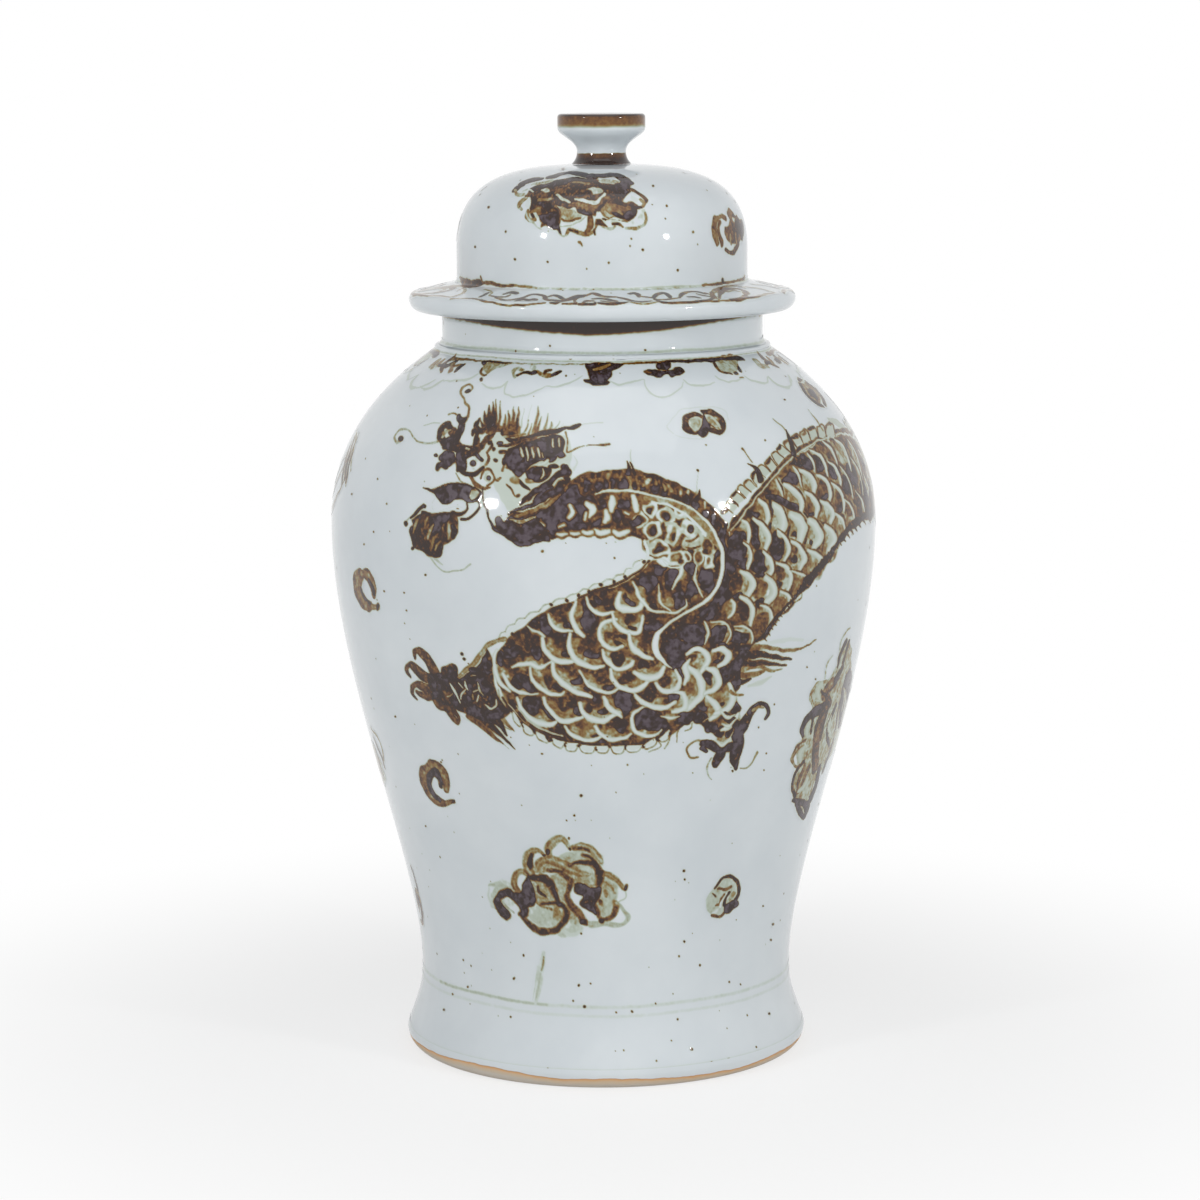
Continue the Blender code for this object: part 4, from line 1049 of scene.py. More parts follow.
for points, load in (
    ([(486, 431, 6), (496, 429, 6), (506, 432, 6), (515, 438, 4)], 0.64),
    ([(500, 434, 3), (508, 441, 3.4), (520, 439, 4), (532, 436, 5), (545, 432, 5), (557, 430, 4),
      (566, 428, 2)],
     0.78),
    ([(497, 446, 3), (508, 445, 3.4), (520, 441, 3), (534, 438, 3)], 0.62),
    ([(502, 437, 2), (512, 437, 3), (522, 434, 3)], 0.40),
):
    jar_line(front, points, load, load - 0.16, uneven=0.14)

# Gills: dark plates with bare bars between them
filled(jar_wall, front, [(506, 449), (520, 443), (536, 439), (553, 433), (560, 440), (559, 452), (548, 458),
                         (537, 461), (527, 468), (517, 476), (508, 470), (502, 458)], 0.80, uneven=0.16)
filled(jar_wall, front, [(524, 471), (534, 466), (548, 467), (546, 475), (537, 482), (527, 481)],
       0.80, uneven=0.16)
for x, y, across, down, load, *turn in (
    (513, 456, 6, 7, 0.97), (509, 466, 4, 5, 0.97), (541, 447, 6, 4, 0.98), (531, 460, 4, 3, 0.96),
    (522, 466, 5, 4, 0.97), (517, 472, 4, 5, 0.97), (544, 456, 3, 3, 0.92), (552, 455, 3, 3, 0.95),
    (559, 453, 3, 3, 0.95), (551, 464, 4, 3, 0.90, 20), (560, 470, 4, 6, 0.82, -20), (533, 475, 4, 4, 0.95),
    (527, 482, 4, 3, 0.30), (513, 480, 5, 3, 0.24),
):
    blot(jar_wall, front, x, y, across, down, load, *turn)
for points, width in (
    ([(518, 448), (519, 452), (520, 456)], 2.4), ([(524, 447), (525, 455), (525, 461)], 2.6),
    ([(530, 447), (531, 454), (531, 458)], 2.4), ([(535, 448), (536, 453), (537, 457)], 2.2),
    ([(539, 453), (541, 457)], 2), ([(550, 439), (551, 447)], 2.4), ([(556, 438), (556, 446)], 2.4),
    ([(540, 468), (541, 473), (538, 478)], 2.4), ([(546, 459), (541, 463), (535, 465)], 4),
    ([(556, 458), (553, 461)], 2.6),
):
    wiped(jar_wall, front, points, width, 0.06, ends=0.7)

# The mane down the neck, in long slanting strokes, and the throat
for points, load in (
    ([(518, 503, 3), (530, 494, 6), (544, 484, 7), (556, 474, 6), (563, 467, 4)], 0.84),
    ([(523, 506, 2.4), (536, 498, 3), (550, 488, 3), (560, 478, 2)], 0.26),
    ([(507, 513, 2.4), (524, 506, 4.4), (541, 498, 6), (556, 487, 7), (564, 478, 6)], 0.92),
    ([(512, 517, 2), (529, 511, 3.4), (545, 503, 3.4), (556, 496, 3)], 0.34),
    ([(506, 518, 4), (522, 521, 6), (538, 516, 7), (552, 507, 8), (562, 497, 8)], 0.97),
    ([(508, 519, 2), (519, 521, 3.4), (531, 518, 2.4)], 0.22),
    ([(479, 489, 1), (480, 502, 1.3), (484, 514, 1.6), (490, 525, 2.2), (499, 534, 3), (509, 540, 4),
      (519, 545, 4), (531, 541, 4), (545, 538, 4)], 0.88),
    ([(496, 521, 8), (506, 530, 12), (520, 534, 13), (536, 530, 12)], 0.98),
    ([(532, 500, 3), (541, 492, 3), (549, 486, 2)], 0.97),
):
    jar_line(front, points, load, load - 0.10, uneven=0.10, ragged=0.0008)

# The mouth: lips, jaw and beard
filled(jar_wall, front,
       [(423, 488), (432, 490), (441, 486), (453, 484), (464, 486), (472, 489), (478, 494), (475, 501),
        (466, 502), (458, 500), (451, 501), (446, 504), (439, 504), (434, 498), (430, 492)],
       0.98, uneven=0.05)
# A near-bare dab in the upper lip's right half: a painted highlight
blot(jar_wall, front, 471, 494, 5, 5, 0.06)
for points, load in (
    ([(421, 486.5, 1.4), (430, 490, 2.4), (441, 485.5, 2), (453, 483.5, 2), (464, 485.5, 2), (472, 488, 1.6)],
     0.74),
    ([(472, 487, 1.6), (478, 494, 1.8), (475, 501, 1.8), (477, 507, 2), (472, 514, 2.2), (465, 519, 2.6),
      (458, 519, 2.4)],
     0.80),
    ([(464, 502, 1.6), (464, 509, 2), (458, 514, 3), (449, 515, 4), (440, 514, 4), (430, 516, 5),
      (420, 513, 4)],
     0.70),
    ([(432, 498, 1), (429, 505, 1), (431, 511, 1)], 0.08),
    ([(436, 510, 2), (448, 508, 3), (460, 508, 3)], 0.05),
):
    jar_line(front, points, load, load - 0.1)
filled(jar_wall, front,
       [(409, 520), (415, 514), (426, 515), (437, 515), (447, 514), (455, 519), (456, 530), (454, 538),
        (447, 540), (441, 544), (439, 553), (433, 559), (424, 555), (416, 550), (409, 544), (407, 532)],
       0.66, uneven=0.22, ragged=0.0012)
for x, y, across, down, load, *turn in (
    (433, 526, 7, 8, 0.97), (441, 519, 6, 4, 0.96), (452, 533, 4, 6, 0.97), (415, 537, 6, 8, 0.72),
    (436, 549, 5, 6, 0.84), (421, 545, 5, 6, 0.68),
):
    blot(jar_wall, front, x, y, across, down, load, *turn)
for points, width, load in (
    ([(415, 519), (412, 525), (411, 532)], 3.4, 0.24), ([(425, 517), (423, 522), (422, 528)], 2.6, 0.24),
    ([(431, 525), (427, 532), (425, 539)], 4, 0.18), ([(435, 534), (430, 542), (427, 551)], 4, 0.34),
    ([(446, 523), (447, 530), (445, 538)], 5, 0.18), ([(438, 541), (434, 546), (432, 551)], 3, 0.24),
    ([(428, 541), (426, 547)], 3, 0.44),
):
    jar_line(front, tapered(points, width, 0.5), load, load + 0.12, soft=0.0012, uneven=0.1)

# The near foreleg: a dark, slashed arm, four hooked toes, and a tuft of hair at the elbow
filled(jar_wall, front,
       [(485, 650), (489, 657), (489, 672), (492, 684), (495, 694), (500, 703), (507, 710), (505, 716),
        (498, 719), (488, 722), (476, 720), (466, 715), (456, 710), (444, 706), (434, 700), (428, 691),
        (425, 682), (428, 674), (437, 674), (438, 668), (444, 666), (449, 664), (454, 667), (454, 674),
        (456, 678), (464, 674), (474, 667), (481, 658)],
       0.69, uneven=0.18)
for x, y, across, down, load, *turn in (
    (481, 691, 6, 9, 0.97), (484, 666, 4, 8, 0.96), (449, 672, 5, 5, 0.72), (440, 686, 6, 6, 0.78),
    (466, 690, 4, 5, 0.90), (471, 712, 9, 5, 0.96, 20), (492, 712, 10, 5, 0.90), (452, 702, 6, 4, 0.80),
    (470, 670, 6, 4, 0.80), (433, 677, 5, 4, 0.84), (462, 700, 5, 5, 0.86),
):
    blot(jar_wall, front, x, y, across, down, load, *turn)
for points, width, load in (
    ([(447, 684), (452, 692), (457, 702)], 2.8, 0.06), ([(462, 681), (463, 686), (465, 690)], 2.4, 0.08),
    ([(463, 689), (459, 693), (458, 699)], 2.4, 0.06), ([(470, 692), (475, 690)], 3, 0.05),
    ([(475, 683), (477, 690), (481, 696)], 2.4, 0.20), ([(456, 683), (460, 688)], 2.4, 0.12),
    ([(476, 696), (474, 702)], 4, 0.05), ([(434, 684), (434, 690)], 3, 0.22),
    ([(483, 705), (488, 709), (493, 706), (494, 699)], 2.6, 0.10), ([(468, 677), (473, 676)], 2.2, 0.12),
    ([(444, 697), (450, 694)], 2.2, 0.12), ([(469, 694), (470, 700)], 3, 0.28),
    ([(500, 700), (503, 705)], 2.6, 0.24), ([(455, 713), (462, 718), (470, 722)], 2, 0.05),
):
    jar_line(front, tapered(points, width, 0.5), load)
for points, load, edge in (
    ([(453, 678, 4), (462, 671, 4.4), (470, 664, 4.8), (478, 655, 4.8), (486, 645, 4.8), (495, 640, 4.2),
      (503, 639, 3)],
     0.22, 0.42),
    ([(433, 676, 9), (429, 666, 8), (424, 658, 7.4), (417, 651.5, 6), (412, 652.5, 4.6), (412, 658, 2.4)],
     0.48, 0.68),
    ([(431, 682, 8), (421, 676, 9), (413, 669, 7.4), (408, 665, 5.4), (404, 667, 4), (404.5, 672, 3.4),
      (408, 677, 1.8)],
     0.52, 0.69),
    ([(433, 690, 8), (422, 688, 8), (415, 684, 6), (410, 686, 4.4), (409.5, 693, 3.4), (414, 699, 2)],
     0.46, 0.68),
    ([(414, 691, 2.4), (420, 695, 5), (428, 697, 6), (434, 694, 6)], 0.52, 0.68),
    ([(431, 699, 4), (437, 706, 6), (445, 709, 7), (449, 716, 6), (454, 722, 5), (456, 718, 3), (451, 710, 5)],
     0.50, 0.68),
    ([(466, 716, 5), (480, 726, 6), (492, 737, 3.4), (500, 744, 1)], 0.50, 0.36),
    ([(480, 718, 8), (490, 727, 6), (501, 738, 3), (512, 749, 0.8)], 0.76, 0.5),
    ([(489, 718, 9), (497, 724, 6), (504, 735, 1.6)], 0.82, 0.6),
    ([(496, 716, 7), (504, 724, 4), (511, 731, 0.8)], 0.42, 0.3),
    ([(486, 727, 3), (497, 741, 1.6), (506, 749, 0.8)], 0.20, 0.14),
    ([(500, 726, 2), (508, 730, 1)], 0.2, 0.14),
):
    jar_line(front, points, load, edge, soak=True)
for x, y in ((459, 654), (461.5, 659)):
    blot(jar_wall, front, x, y, 1.6, 1.6, 0.74, soft=0.0006, ragged=0.0004)

# The far foreleg under the belly, and the flame of hair that blows back from it
for points, load, edge in (
    ([(731, 648, 5), (748, 648, 7), (764, 647, 5), (780, 650, 4), (795, 649, 2.2), (813, 640, 0.8)],
     0.40, 0.30),
    ([(738, 656, 9), (755, 654, 7), (770, 657, 5.4), (788, 659, 2)], 0.78, 0.5),
    ([(740, 663, 7), (755, 663, 7), (770, 664, 3.4), (783, 665, 2)], 0.70, 0.4),
    ([(740, 669, 5), (753, 667, 4.4), (768, 670, 3), (779, 669, 1)], 0.34, 0.24),
    ([(736, 675, 7), (750, 675, 5.4), (761, 671, 2)], 0.40, 0.3),
    ([(730, 682, 5), (740, 682, 5.4), (747, 679, 2)], 0.76, 0.5),
    ([(728, 691, 4), (735, 695, 3.4), (741, 695, 1.6)], 0.42, 0.3),
    ([(760, 643, 3), (780, 640, 5), (800, 639, 3)], 0.05, 0.04),
    ([(745, 687, 3), (756, 683, 5), (768, 676, 2)], 0.07, 0.05),
    ([(734, 736, 9), (740, 726, 11), (746, 715, 8), (751, 708, 6), (757, 703, 4), (763, 705, 4),
      (765, 712, 3.4), (762, 719, 1.8)],
     0.90, 0.76),
    ([(736, 728, 9), (735, 743, 10), (732, 757, 10), (733, 768, 4)], 0.90, 0.74),
    ([(722, 716, 8), (732, 724, 9), (738, 730, 8)], 0.86, 0.7),
    ([(699, 743, 6), (708, 745, 9), (718, 748, 9), (729, 747, 9)], 0.90, 0.72),
    ([(699, 748, 5), (703, 751, 4)], 0.90, 0.8),
    ([(702, 743, 4), (694, 740, 2), (687, 744, 2), (684, 750, 2.2), (688, 757, 2.6), (695, 757, 1.6)],
     0.40, 0.26),
    ([(720, 748, 8), (717, 756, 9), (712, 764, 6)], 0.90, 0.72),
    ([(709, 758, 1.8), (705, 765, 1.6), (704, 773, 1.6), (709, 779, 1)], 0.24, 0.16),
    ([(737, 768, 1), (744, 767, 1.5), (750, 760, 1.6), (754, 752, 2.2)], 0.30, 0.2),
):
    jar_line(front, points, load, edge, soak=True)
jar_line(front, [(750, 710, 3), (756, 706, 3), (761, 708, 2)], 0.30)
for points, width in (([(712, 741), (720, 745), (728, 738)], 4), ([(700, 722), (706, 718)], 2),
                      ([(744, 715), (741, 711)], 2), ([(719, 724), (726, 727), (733, 720)], 3.4),
                      ([(718, 712), (724, 718), (731, 715)], 4)):
    wiped(jar_wall, front, points, width, 0.05)


# Clouds: curled strokes round a few round puffs, each stroke pale in the middle and dark where it pooled
CLOUD_MIDDLE, COMMA_MIDDLE, PUFF_MIDDLE, LOOP_MIDDLE = (555, 885), (432, 784), (701, 423), (720, 897)


def moved(place, start, goal, size=1.0, turn=0.0, flip=1):
    """The same strokes elsewhere: taken from start, turned, sized, mirrored if asked, and set at goal."""
    c, s = math.cos(math.radians(turn)), math.sin(math.radians(turn))

    def there(points):
        points = (np.asarray(points, float).reshape(-1, 2) - start) * (size * flip, size)
        return place(points @ np.array([[c, s], [-s, c]]) + goal)
    return there


def around(points):
    """A place on the wall, in millimetres round the belly from the front and millimetres above the foot."""
    points = np.asarray(points, float).reshape(-1, 2)
    run = np.interp(points[:, 1] / -1000, -jar_wall.height, jar_wall.run)
    return np.stack([points[:, 0] / 1000 / BELLY_RADIUS, run], 1)


def overhead(points):
    """As around, with the height counted downwards like a pixel row, so that strokes keep their way up."""
    points = np.asarray(points, float).reshape(-1, 2)
    return around(points * (1, -1))


def cloud(place):
    """The big cloud, drawn about CLOUD_MIDDLE."""
    for x, y, across, down, load in ((562, 925, 20, 11, 0.06), (585, 856, 15, 9, 0.08),
                                     (502, 895, 12, 14, 0.06), (545, 914, 18, 12, 0.10),
                                     (540, 892, 13, 13, 0.20), (557, 889, 11, 15, 0.17),
                                     (580, 878, 17, 8, 0.15), (605, 891, 10, 13, 0.13), (602, 909, 10, 9, 0.10),
                                     (580, 867, 10, 5, 0.18)):
        blot(jar_wall, place, x, y, across, down, load, uneven=0.04, soft=0.0022)
    for outline, load in (
        ([(554, 859), (560, 853), (570, 852), (582, 855), (592, 863), (597, 873), (597, 883), (588, 885),
          (576, 879), (564, 867)],
         0.14),
        ([(533, 868), (540, 861), (552, 860), (564, 867), (580, 877), (592, 885), (574, 883), (560, 873),
          (546, 872), (536, 873)],
         0.20),
        ([(548, 875), (560, 875), (568, 883), (566, 895), (568, 905), (580, 921), (570, 925), (560, 909),
          (554, 901), (554, 891)],
         0.16),
        ([(600, 883), (608, 885), (613, 893), (613, 901), (608, 913), (600, 919), (593, 915), (598, 905),
          (598, 893)],
         0.14),
        ([(522, 911), (530, 907), (548, 906), (560, 909), (560, 921), (550, 929), (536, 925), (526, 919)],
         0.105),
        ([(554, 935), (564, 929), (576, 923), (580, 929), (572, 936), (560, 937)], 0.09),
        ([(488, 893), (492, 885), (502, 885), (510, 891), (500, 894), (494, 899), (492, 909), (488, 905)],
         0.10),
        ([(571, 845), (584, 847), (596, 855), (600, 865), (596, 863), (588, 855), (572, 851)], 0.13),
    ):
        filled(jar_wall, place, outline, load, uneven=0.05, soft=0.0018)
    blot(jar_wall, place, 557, 913, 6, 8, 0.30, soft=0.0030)
    for points, load, edge in (
        ([(518, 914, 4), (526, 924, 5.4), (539, 931, 6.2), (552, 930, 5.8), (561, 922, 5), (564, 913, 4.4),
          (561, 906, 4), (552, 903, 3), (540, 903, 2)],
         0.62, 0.66),
        ([(527, 878, 5), (540, 878, 7.6), (548, 884, 7), (552, 894, 5), (556, 905, 4)], 0.71, 0.59),
        ([(530, 896, 2), (536, 904, 2), (548, 909, 2)], 0.24, 0.30),
        ([(516, 893, 5), (511, 884, 5), (512, 875, 5.4), (518, 871.5, 4.4), (525, 875, 3)], 0.24, 0.55),
        ([(529, 875, 7), (523, 865, 7), (524, 856, 7), (530, 851, 5.4), (537, 851, 3.4), (541, 855, 2)],
         0.22, 0.47),
        ([(547, 856, 4), (546, 848, 8), (551, 841, 8), (558, 838, 6), (563, 842, 4.4), (566, 848, 3)],
         0.16, 0.40),
        ([(571, 847, 6), (580, 846, 6), (588, 849, 6.4), (594, 855, 6.4), (598, 862, 3)], 0.14, 0.42),
        ([(571, 848, 4), (579, 849, 3), (586, 851, 2)], 0.55, 0.42),
        ([(533, 871, 3), (536, 863, 6), (545, 860, 7.4), (555, 862, 8), (566, 868, 8), (577, 873, 6),
          (586, 874, 3)],
         0.18, 0.49),
        ([(567, 866, 2), (577, 862, 4), (588, 863, 5.4), (595, 869, 8), (597, 877, 8), (595, 885, 6)],
         0.67, 0.52),
        ([(580, 854, 2), (588, 858, 4), (594, 866, 5)], 0.60, 0.42),
        ([(545, 871, 3), (555, 871, 4), (563, 876, 4.4), (568, 882, 4), (566, 889, 5), (565, 897, 6),
          (568, 904, 6), (574, 911, 6.4), (580, 919, 6), (582, 924, 3)],
         0.44, 0.60),
        ([(597, 881, 2), (606, 884, 2), (612, 892, 1.6)], 0.22, 0.16),
        ([(592, 905, 3), (596, 917, 3.4), (602, 920, 4), (609, 917, 4.4), (613, 908, 4.4), (612, 902, 3)],
         0.50, 0.62),
        ([(598, 872, 4.4), (606, 875, 5), (614, 880, 4.4), (620, 888, 3)], 0.26, 0.50),
        ([(622, 889, 1.4), (623, 897, 1.4), (616, 902, 1.4)], 0.14, 0.12),
        ([(613, 903, 3), (620, 910, 3.4), (625, 917, 3.4), (622, 923, 3), (614, 925, 4), (602, 924, 5),
          (590, 925, 6), (584, 922, 3)],
         0.14, 0.20),
        ([(486, 886, 2), (492, 884, 4), (502, 887, 4), (510, 893, 2)], 0.13, 0.10),
        ([(486, 888, 2), (486, 897, 3), (490, 906, 3)], 0.07, 0.06),
        ([(494, 903, 6), (497, 896, 6.4), (504, 893, 6.4), (513, 898, 8), (520, 905, 9), (522, 914, 6)],
         0.92, 0.85),
        ([(495, 902, 7), (498, 909, 9), (503, 914, 8), (504, 919, 2)], 0.93, 0.85),
        ([(560, 931, 3), (568, 935, 4), (578, 932, 3)], 0.07, 0.05),
    ):
        jar_line(place, points, load, edge, soak=load > 0.2, soft=0.0018)
    filled(jar_wall, place,
           [(519, 884), (525, 878), (530, 887), (532, 899), (530, 906), (522, 907), (515, 902), (511, 894),
            (518, 892)],
           0.90, uneven=0.14, soft=0.0014)
    filled(jar_wall, place,
           [(571, 884), (580, 883), (590, 887), (597, 888), (598, 896), (592, 905), (592, 915), (585, 910),
            (577, 905), (580, 897), (573, 891)],
           0.86, uneven=0.14, soft=0.0014)
    jar_line(place, [(500, 902, 2), (505, 908, 2.6), (511, 912, 2)], 0.15)
    jar_line(place, [(536, 886, 2), (537, 893, 3), (543, 896, 2)], 0.50, soak=True)
    for x, y, across, down, load in ((527, 862, 4, 9, 0.66), (546, 852, 3.4, 4, 0.82), (566, 848, 2, 2, 0.84),
                                     (541, 855, 1.6, 1.6, 0.8), (622.5, 888, 2, 1.8, 0.82),
                                     (599, 922, 2.6, 3, 0.84), (604, 894, 3, 4, 0.34), (596, 903, 2, 2, 0.40),
                                     (582, 922, 2, 3, 0.8)):
        blot(jar_wall, place, x, y, across, down, load)


def comma(place):
    """A single comma of cloud, drawn about COMMA_MIDDLE."""
    jar_line(place,
             [(443, 790, 4), (442, 779, 8), (436, 770, 11), (428, 767, 11), (422, 773, 10), (423, 783, 9),
              (427, 792, 9), (433, 799, 7.4), (441, 803, 6), (451, 802, 3)],
             0.34, 0.56, uneven=0.12)
    jar_line(place,
             [(438, 786, 3), (436, 777, 5), (431, 772, 7), (427, 776, 5), (427, 785, 4), (431, 794, 4),
              (437, 800, 3)],
             0.82, 0.66, soak=True)
    blot(jar_wall, place, 449, 802.5, 2, 1.6, 0.7)


def open_comma(place):
    """A thinner comma, drawn about (363, 590)."""
    jar_line(place,
             [(371, 595, 4), (370, 586, 6.4), (366, 577, 7), (360, 573, 7.4), (355, 580, 8.4), (355, 590, 8.4),
              (359, 599, 8), (366, 606, 7), (375, 606, 3.4)],
             0.34, 0.56, uneven=0.12)
    jar_line(place, [(371, 593, 3), (369, 586, 3), (366, 580, 2)], 0.80, 0.6, soak=True)
    jar_line(place, [(358, 588, 1.6), (361, 597, 2), (368, 603, 1.8)], 0.64, 0.5, soak=True)
    blot(jar_wall, place, 374, 605.5, 2.2, 1.8, 0.72)


def puff(place):
    """Two round puffs side by side, drawn about PUFF_MIDDLE, in a faint green outline."""
    jar_line(place,
             [(670, 433, 1.2), (664, 427, 1.2), (670, 418, 1.2), (678, 410, 1.2), (690, 408, 1.2),
              (712, 407, 1.2), (722, 411, 1), (726, 420, 1)],
             0.05)
    jar_line(place, [(672, 434, 1), (684, 438, 1.2), (700, 439, 1)], 0.05)
    jar_line(place,
             [(698, 417, 3), (692, 414, 4), (684, 417, 6), (682, 425, 6.4), (687, 431, 6), (695, 432, 4)],
             0.56, 0.7)
    blot(jar_wall, place, 692, 424, 7, 7, 0.14, soft=0.0022)
    jar_line(place,
             [(700, 412, 4), (708, 412, 6), (716, 418, 6.4), (720, 426, 5), (716, 432, 5), (708, 430, 4)],
             0.62, 0.7)
    blot(jar_wall, place, 710, 421, 8, 7, 0.24, 35, soft=0.0022)
    jar_line(place, [(708, 416, 1.6), (713, 421, 2), (717, 428, 1.6)], 0.10)
    jar_line(place, [(707, 424, 1.4), (711, 428, 1.4)], 0.50)
    filled(jar_wall, place,
           [(700, 412), (703, 420), (708, 426), (705, 433), (700, 437), (695, 433), (699, 426)],
           0.95, uneven=0.1)


def ring_of_cloud(place):
    """A washed-out loop of green with a purple tail, drawn about LOOP_MIDDLE."""
    filled(jar_wall, place,
           [(713, 885), (720, 878), (728, 876), (734, 881), (736, 889), (734, 899), (733, 905), (727, 912),
            (720, 916), (712, 917), (706, 913), (703, 906), (704, 898), (709, 891)],
           0.095, uneven=0.05)
    jar_line(place,
             [(713, 887, 2), (717, 881, 2.4), (722, 877.5, 2.4), (728, 876.5, 3), (733, 880, 3),
              (735.5, 887, 3), (735, 894, 3), (732, 900, 3)],
             0.66, uneven=0.1)
    jar_line(place, [(721, 913, 2.4), (716, 916, 2.6), (709, 915.5, 2)], 0.56, uneven=0.1)
    filled(jar_wall, place,
           [(721, 905), (727, 902), (733, 900), (735.5, 904), (730, 909), (726, 914), (721, 913)],
           0.93, uneven=0.08)
    jar_line(place, [(716, 888, 2), (722, 889, 3), (728, 886.5, 2.4)], 0.38, soak=True)
    jar_line(place, [(721, 894, 2), (718, 899, 2.4), (716.5, 905, 2.4), (713, 906, 2)], 0.52)
    jar_line(place, [(726, 892, 2), (722, 898, 3), (721, 905, 3)], 0.72)
    jar_line(place, [(727, 899, 3), (730, 893, 4)], 0.28)
    jar_line(place, [(723.5, 893, 1.6), (720, 898, 2), (717.5, 904, 2.2), (717, 907.5, 1.8)], 0.02)
    blot(jar_wall, place, 712, 896, 1.6, 1.6, 0.62)


cloud(front)
comma(front)
open_comma(front)
puff(front)
ring_of_cloud(front)

# The cloud at the right, which stands on end and goes on round the side
filled(jar_wall, front,
       [(836, 662), (843, 640), (848, 650), (847, 690), (838, 735), (824, 762), (812, 780), (806, 800),
        (800, 812), (793, 804), (790, 788), (794, 764), (792, 748), (801, 736), (801, 722), (812, 710),
        (811, 692), (825, 680)],
       0.17, uneven=0.09)
filled(jar_wall, front,
       [(846, 668), (849, 672), (847, 690), (841, 712), (837, 728), (833, 724), (836, 704), (840, 686)],
       0.92, uneven=0.10)
for points, load, edge in (
    ([(835, 660, 1.4), (838, 643, 1.6), (843, 632, 1.4), (847, 628, 1)], 0.20, 0.14),
    ([(835, 666, 2), (838, 652, 3), (843, 642, 3)], 0.80, 0.66),
    ([(840, 662, 3), (843, 651, 3), (846, 641, 2)], 0.66, 0.74),
    ([(822, 678, 1.2), (824, 664, 1.2), (830, 655, 1)], 0.16, 0.12),
    ([(839, 668, 4), (834, 678, 5), (828, 686, 5)], 0.84, 0.7),
    ([(824, 681, 2), (814, 685, 3), (808, 695, 3), (811, 708, 3)], 0.18, 0.28),
    ([(828, 684, 6), (822, 694, 7), (826, 704, 6)], 0.30, 0.62),
    ([(843, 676, 2.4), (839, 695, 3), (836, 712, 3), (832, 730, 2)], 0.90, 0.8),
    ([(824, 706, 6), (813, 711, 7), (804, 719, 5), (799, 728, 4), (800, 736, 2.4)], 0.97, 0.84),
    ([(809, 721, 3), (808, 733, 2)], 0.72, 0.6),
    ([(822, 710, 8), (816, 728, 9), (813, 748, 8), (812, 768, 6)], 0.42, 0.76),
    ([(833, 705, 3), (827, 720, 4), (824, 734, 3), (826, 746, 2)], 0.84, 0.7),
    ([(804, 741, 4), (795, 748, 4), (790, 757, 3), (790, 764, 2), (795, 768, 3)], 0.24, 0.66),
    ([(803, 768, 7), (798, 780, 7), (795, 790, 4)], 0.18, 0.66),
    ([(806, 759, 3), (797, 765, 2.4), (791, 776, 2.4), (789, 788, 2), (792, 796, 3)], 0.74, 0.66),
    ([(790, 800, 4), (797, 802, 7), (804, 806, 6), (802, 816, 3)], 0.90, 0.74),
    ([(816, 768, 4), (813, 784, 5), (808, 797, 6)], 0.90, 0.78),
    ([(805, 740, 4), (804, 752, 5), (805, 762, 4)], 0.20, 0.16),
    ([(830, 740, 3), (825, 756, 4), (820, 770, 3)], 0.70, 0.8),
    ([(793, 804, 3), (797, 812, 4), (801, 818, 2)], 0.94, 0.8),
    ([(818, 690, 2), (824, 700, 3), (820, 712, 3)], 0.74, 0.6),
):
    jar_line(front, points, load, edge, uneven=0.16)
for points, width in (([(819, 683), (815, 690), (816, 699)], 4.6),
                      ([(807, 722), (804.5, 729), (804, 735)], 4.6),
                      ([(801, 747), (797.5, 754), (797, 762)], 4.6), ([(828, 716), (826, 726), (827, 735)], 3),
                      ([(805, 778), (801, 786), (795, 791)], 3.4), ([(837, 676), (840, 670)], 1.6),
                      ([(812, 700), (820, 702)], 2), ([(817, 742), (816, 756)], 2.4)):
    wiped(jar_wall, front, points, width, 0.08)

for points, width in (([(181, -204), (188, -199), (191, -190)], 3),
                      ([(190, -200), (197, -192), (199, -181)], 3.4),
                      ([(182, -192), (187, -184), (193, -176)], 3)):
    wiped(jar_wall, overhead, points, width, 0.16)
cloud(moved(overhead, CLOUD_MIDDLE, (233, -176), 0.40, 78))

# At the left edge: the end of the tail coming round, and three curls of cloud
for points, load, edge in (
    ([(356, 434, 0.8), (351, 446, 1.2), (347, 460, 1.6), (345, 473, 1.6), (343, 486, 1)], 0.34, 0.26),
    ([(349, 440, 0.6), (345, 454, 1), (341, 470, 1.2), (339, 486, 1)], 0.46, 0.36),
    ([(347, 456, 0.8), (344, 466, 1.4), (342, 478, 1)], 0.76, 0.6),
    ([(368, 728, 1.4), (374, 736, 1.4), (379, 748, 1.4), (381, 760, 1.2)], 0.34, 0.26),
    ([(371, 738, 1.6), (375, 748, 2.4), (379, 757, 2.4), (382, 768, 1.4)], 0.74, 0.6),
    ([(408, 867, 1.6), (412, 879, 2), (415, 891, 2.2), (416, 904, 1.6)], 0.86, 0.6),
    ([(352, 436, 1.4), (348, 450, 3), (344, 464, 3.6), (342, 478, 3)], 0.46, 0.36),
    ([(347, 446, 1.4), (343, 458, 2.6), (340, 472, 2.6), (339, 484, 1.6)], 0.62, 0.50),
    ([(350, 452, 1), (346, 466, 2.4), (343, 482, 1.6)], 0.66, 0.52),
    ([(354, 430, 1), (352, 444, 1.4), (349, 458, 1.6), (348, 470, 1)], 0.26, 0.20),
):
    jar_line(front, points, load, edge, soak=True)

# High on the right shoulder: a long drop of cloud with a dark rim
blot(jar_wall, front, 808, 392, 15, 6, 0.34, 43)
jar_line(front, [(796, 379, 2), (803, 382, 2.4), (812, 389, 2.6), (819, 397, 3), (822, 405, 2)], 0.60, 0.72)
jar_line(front, [(796, 380, 2), (799, 388, 2.6), (805, 396, 3), (812, 402, 3), (820, 406, 2)], 0.66, 0.74)
blot(jar_wall, front, 810, 394, 8, 2.6, 0.90, 43)


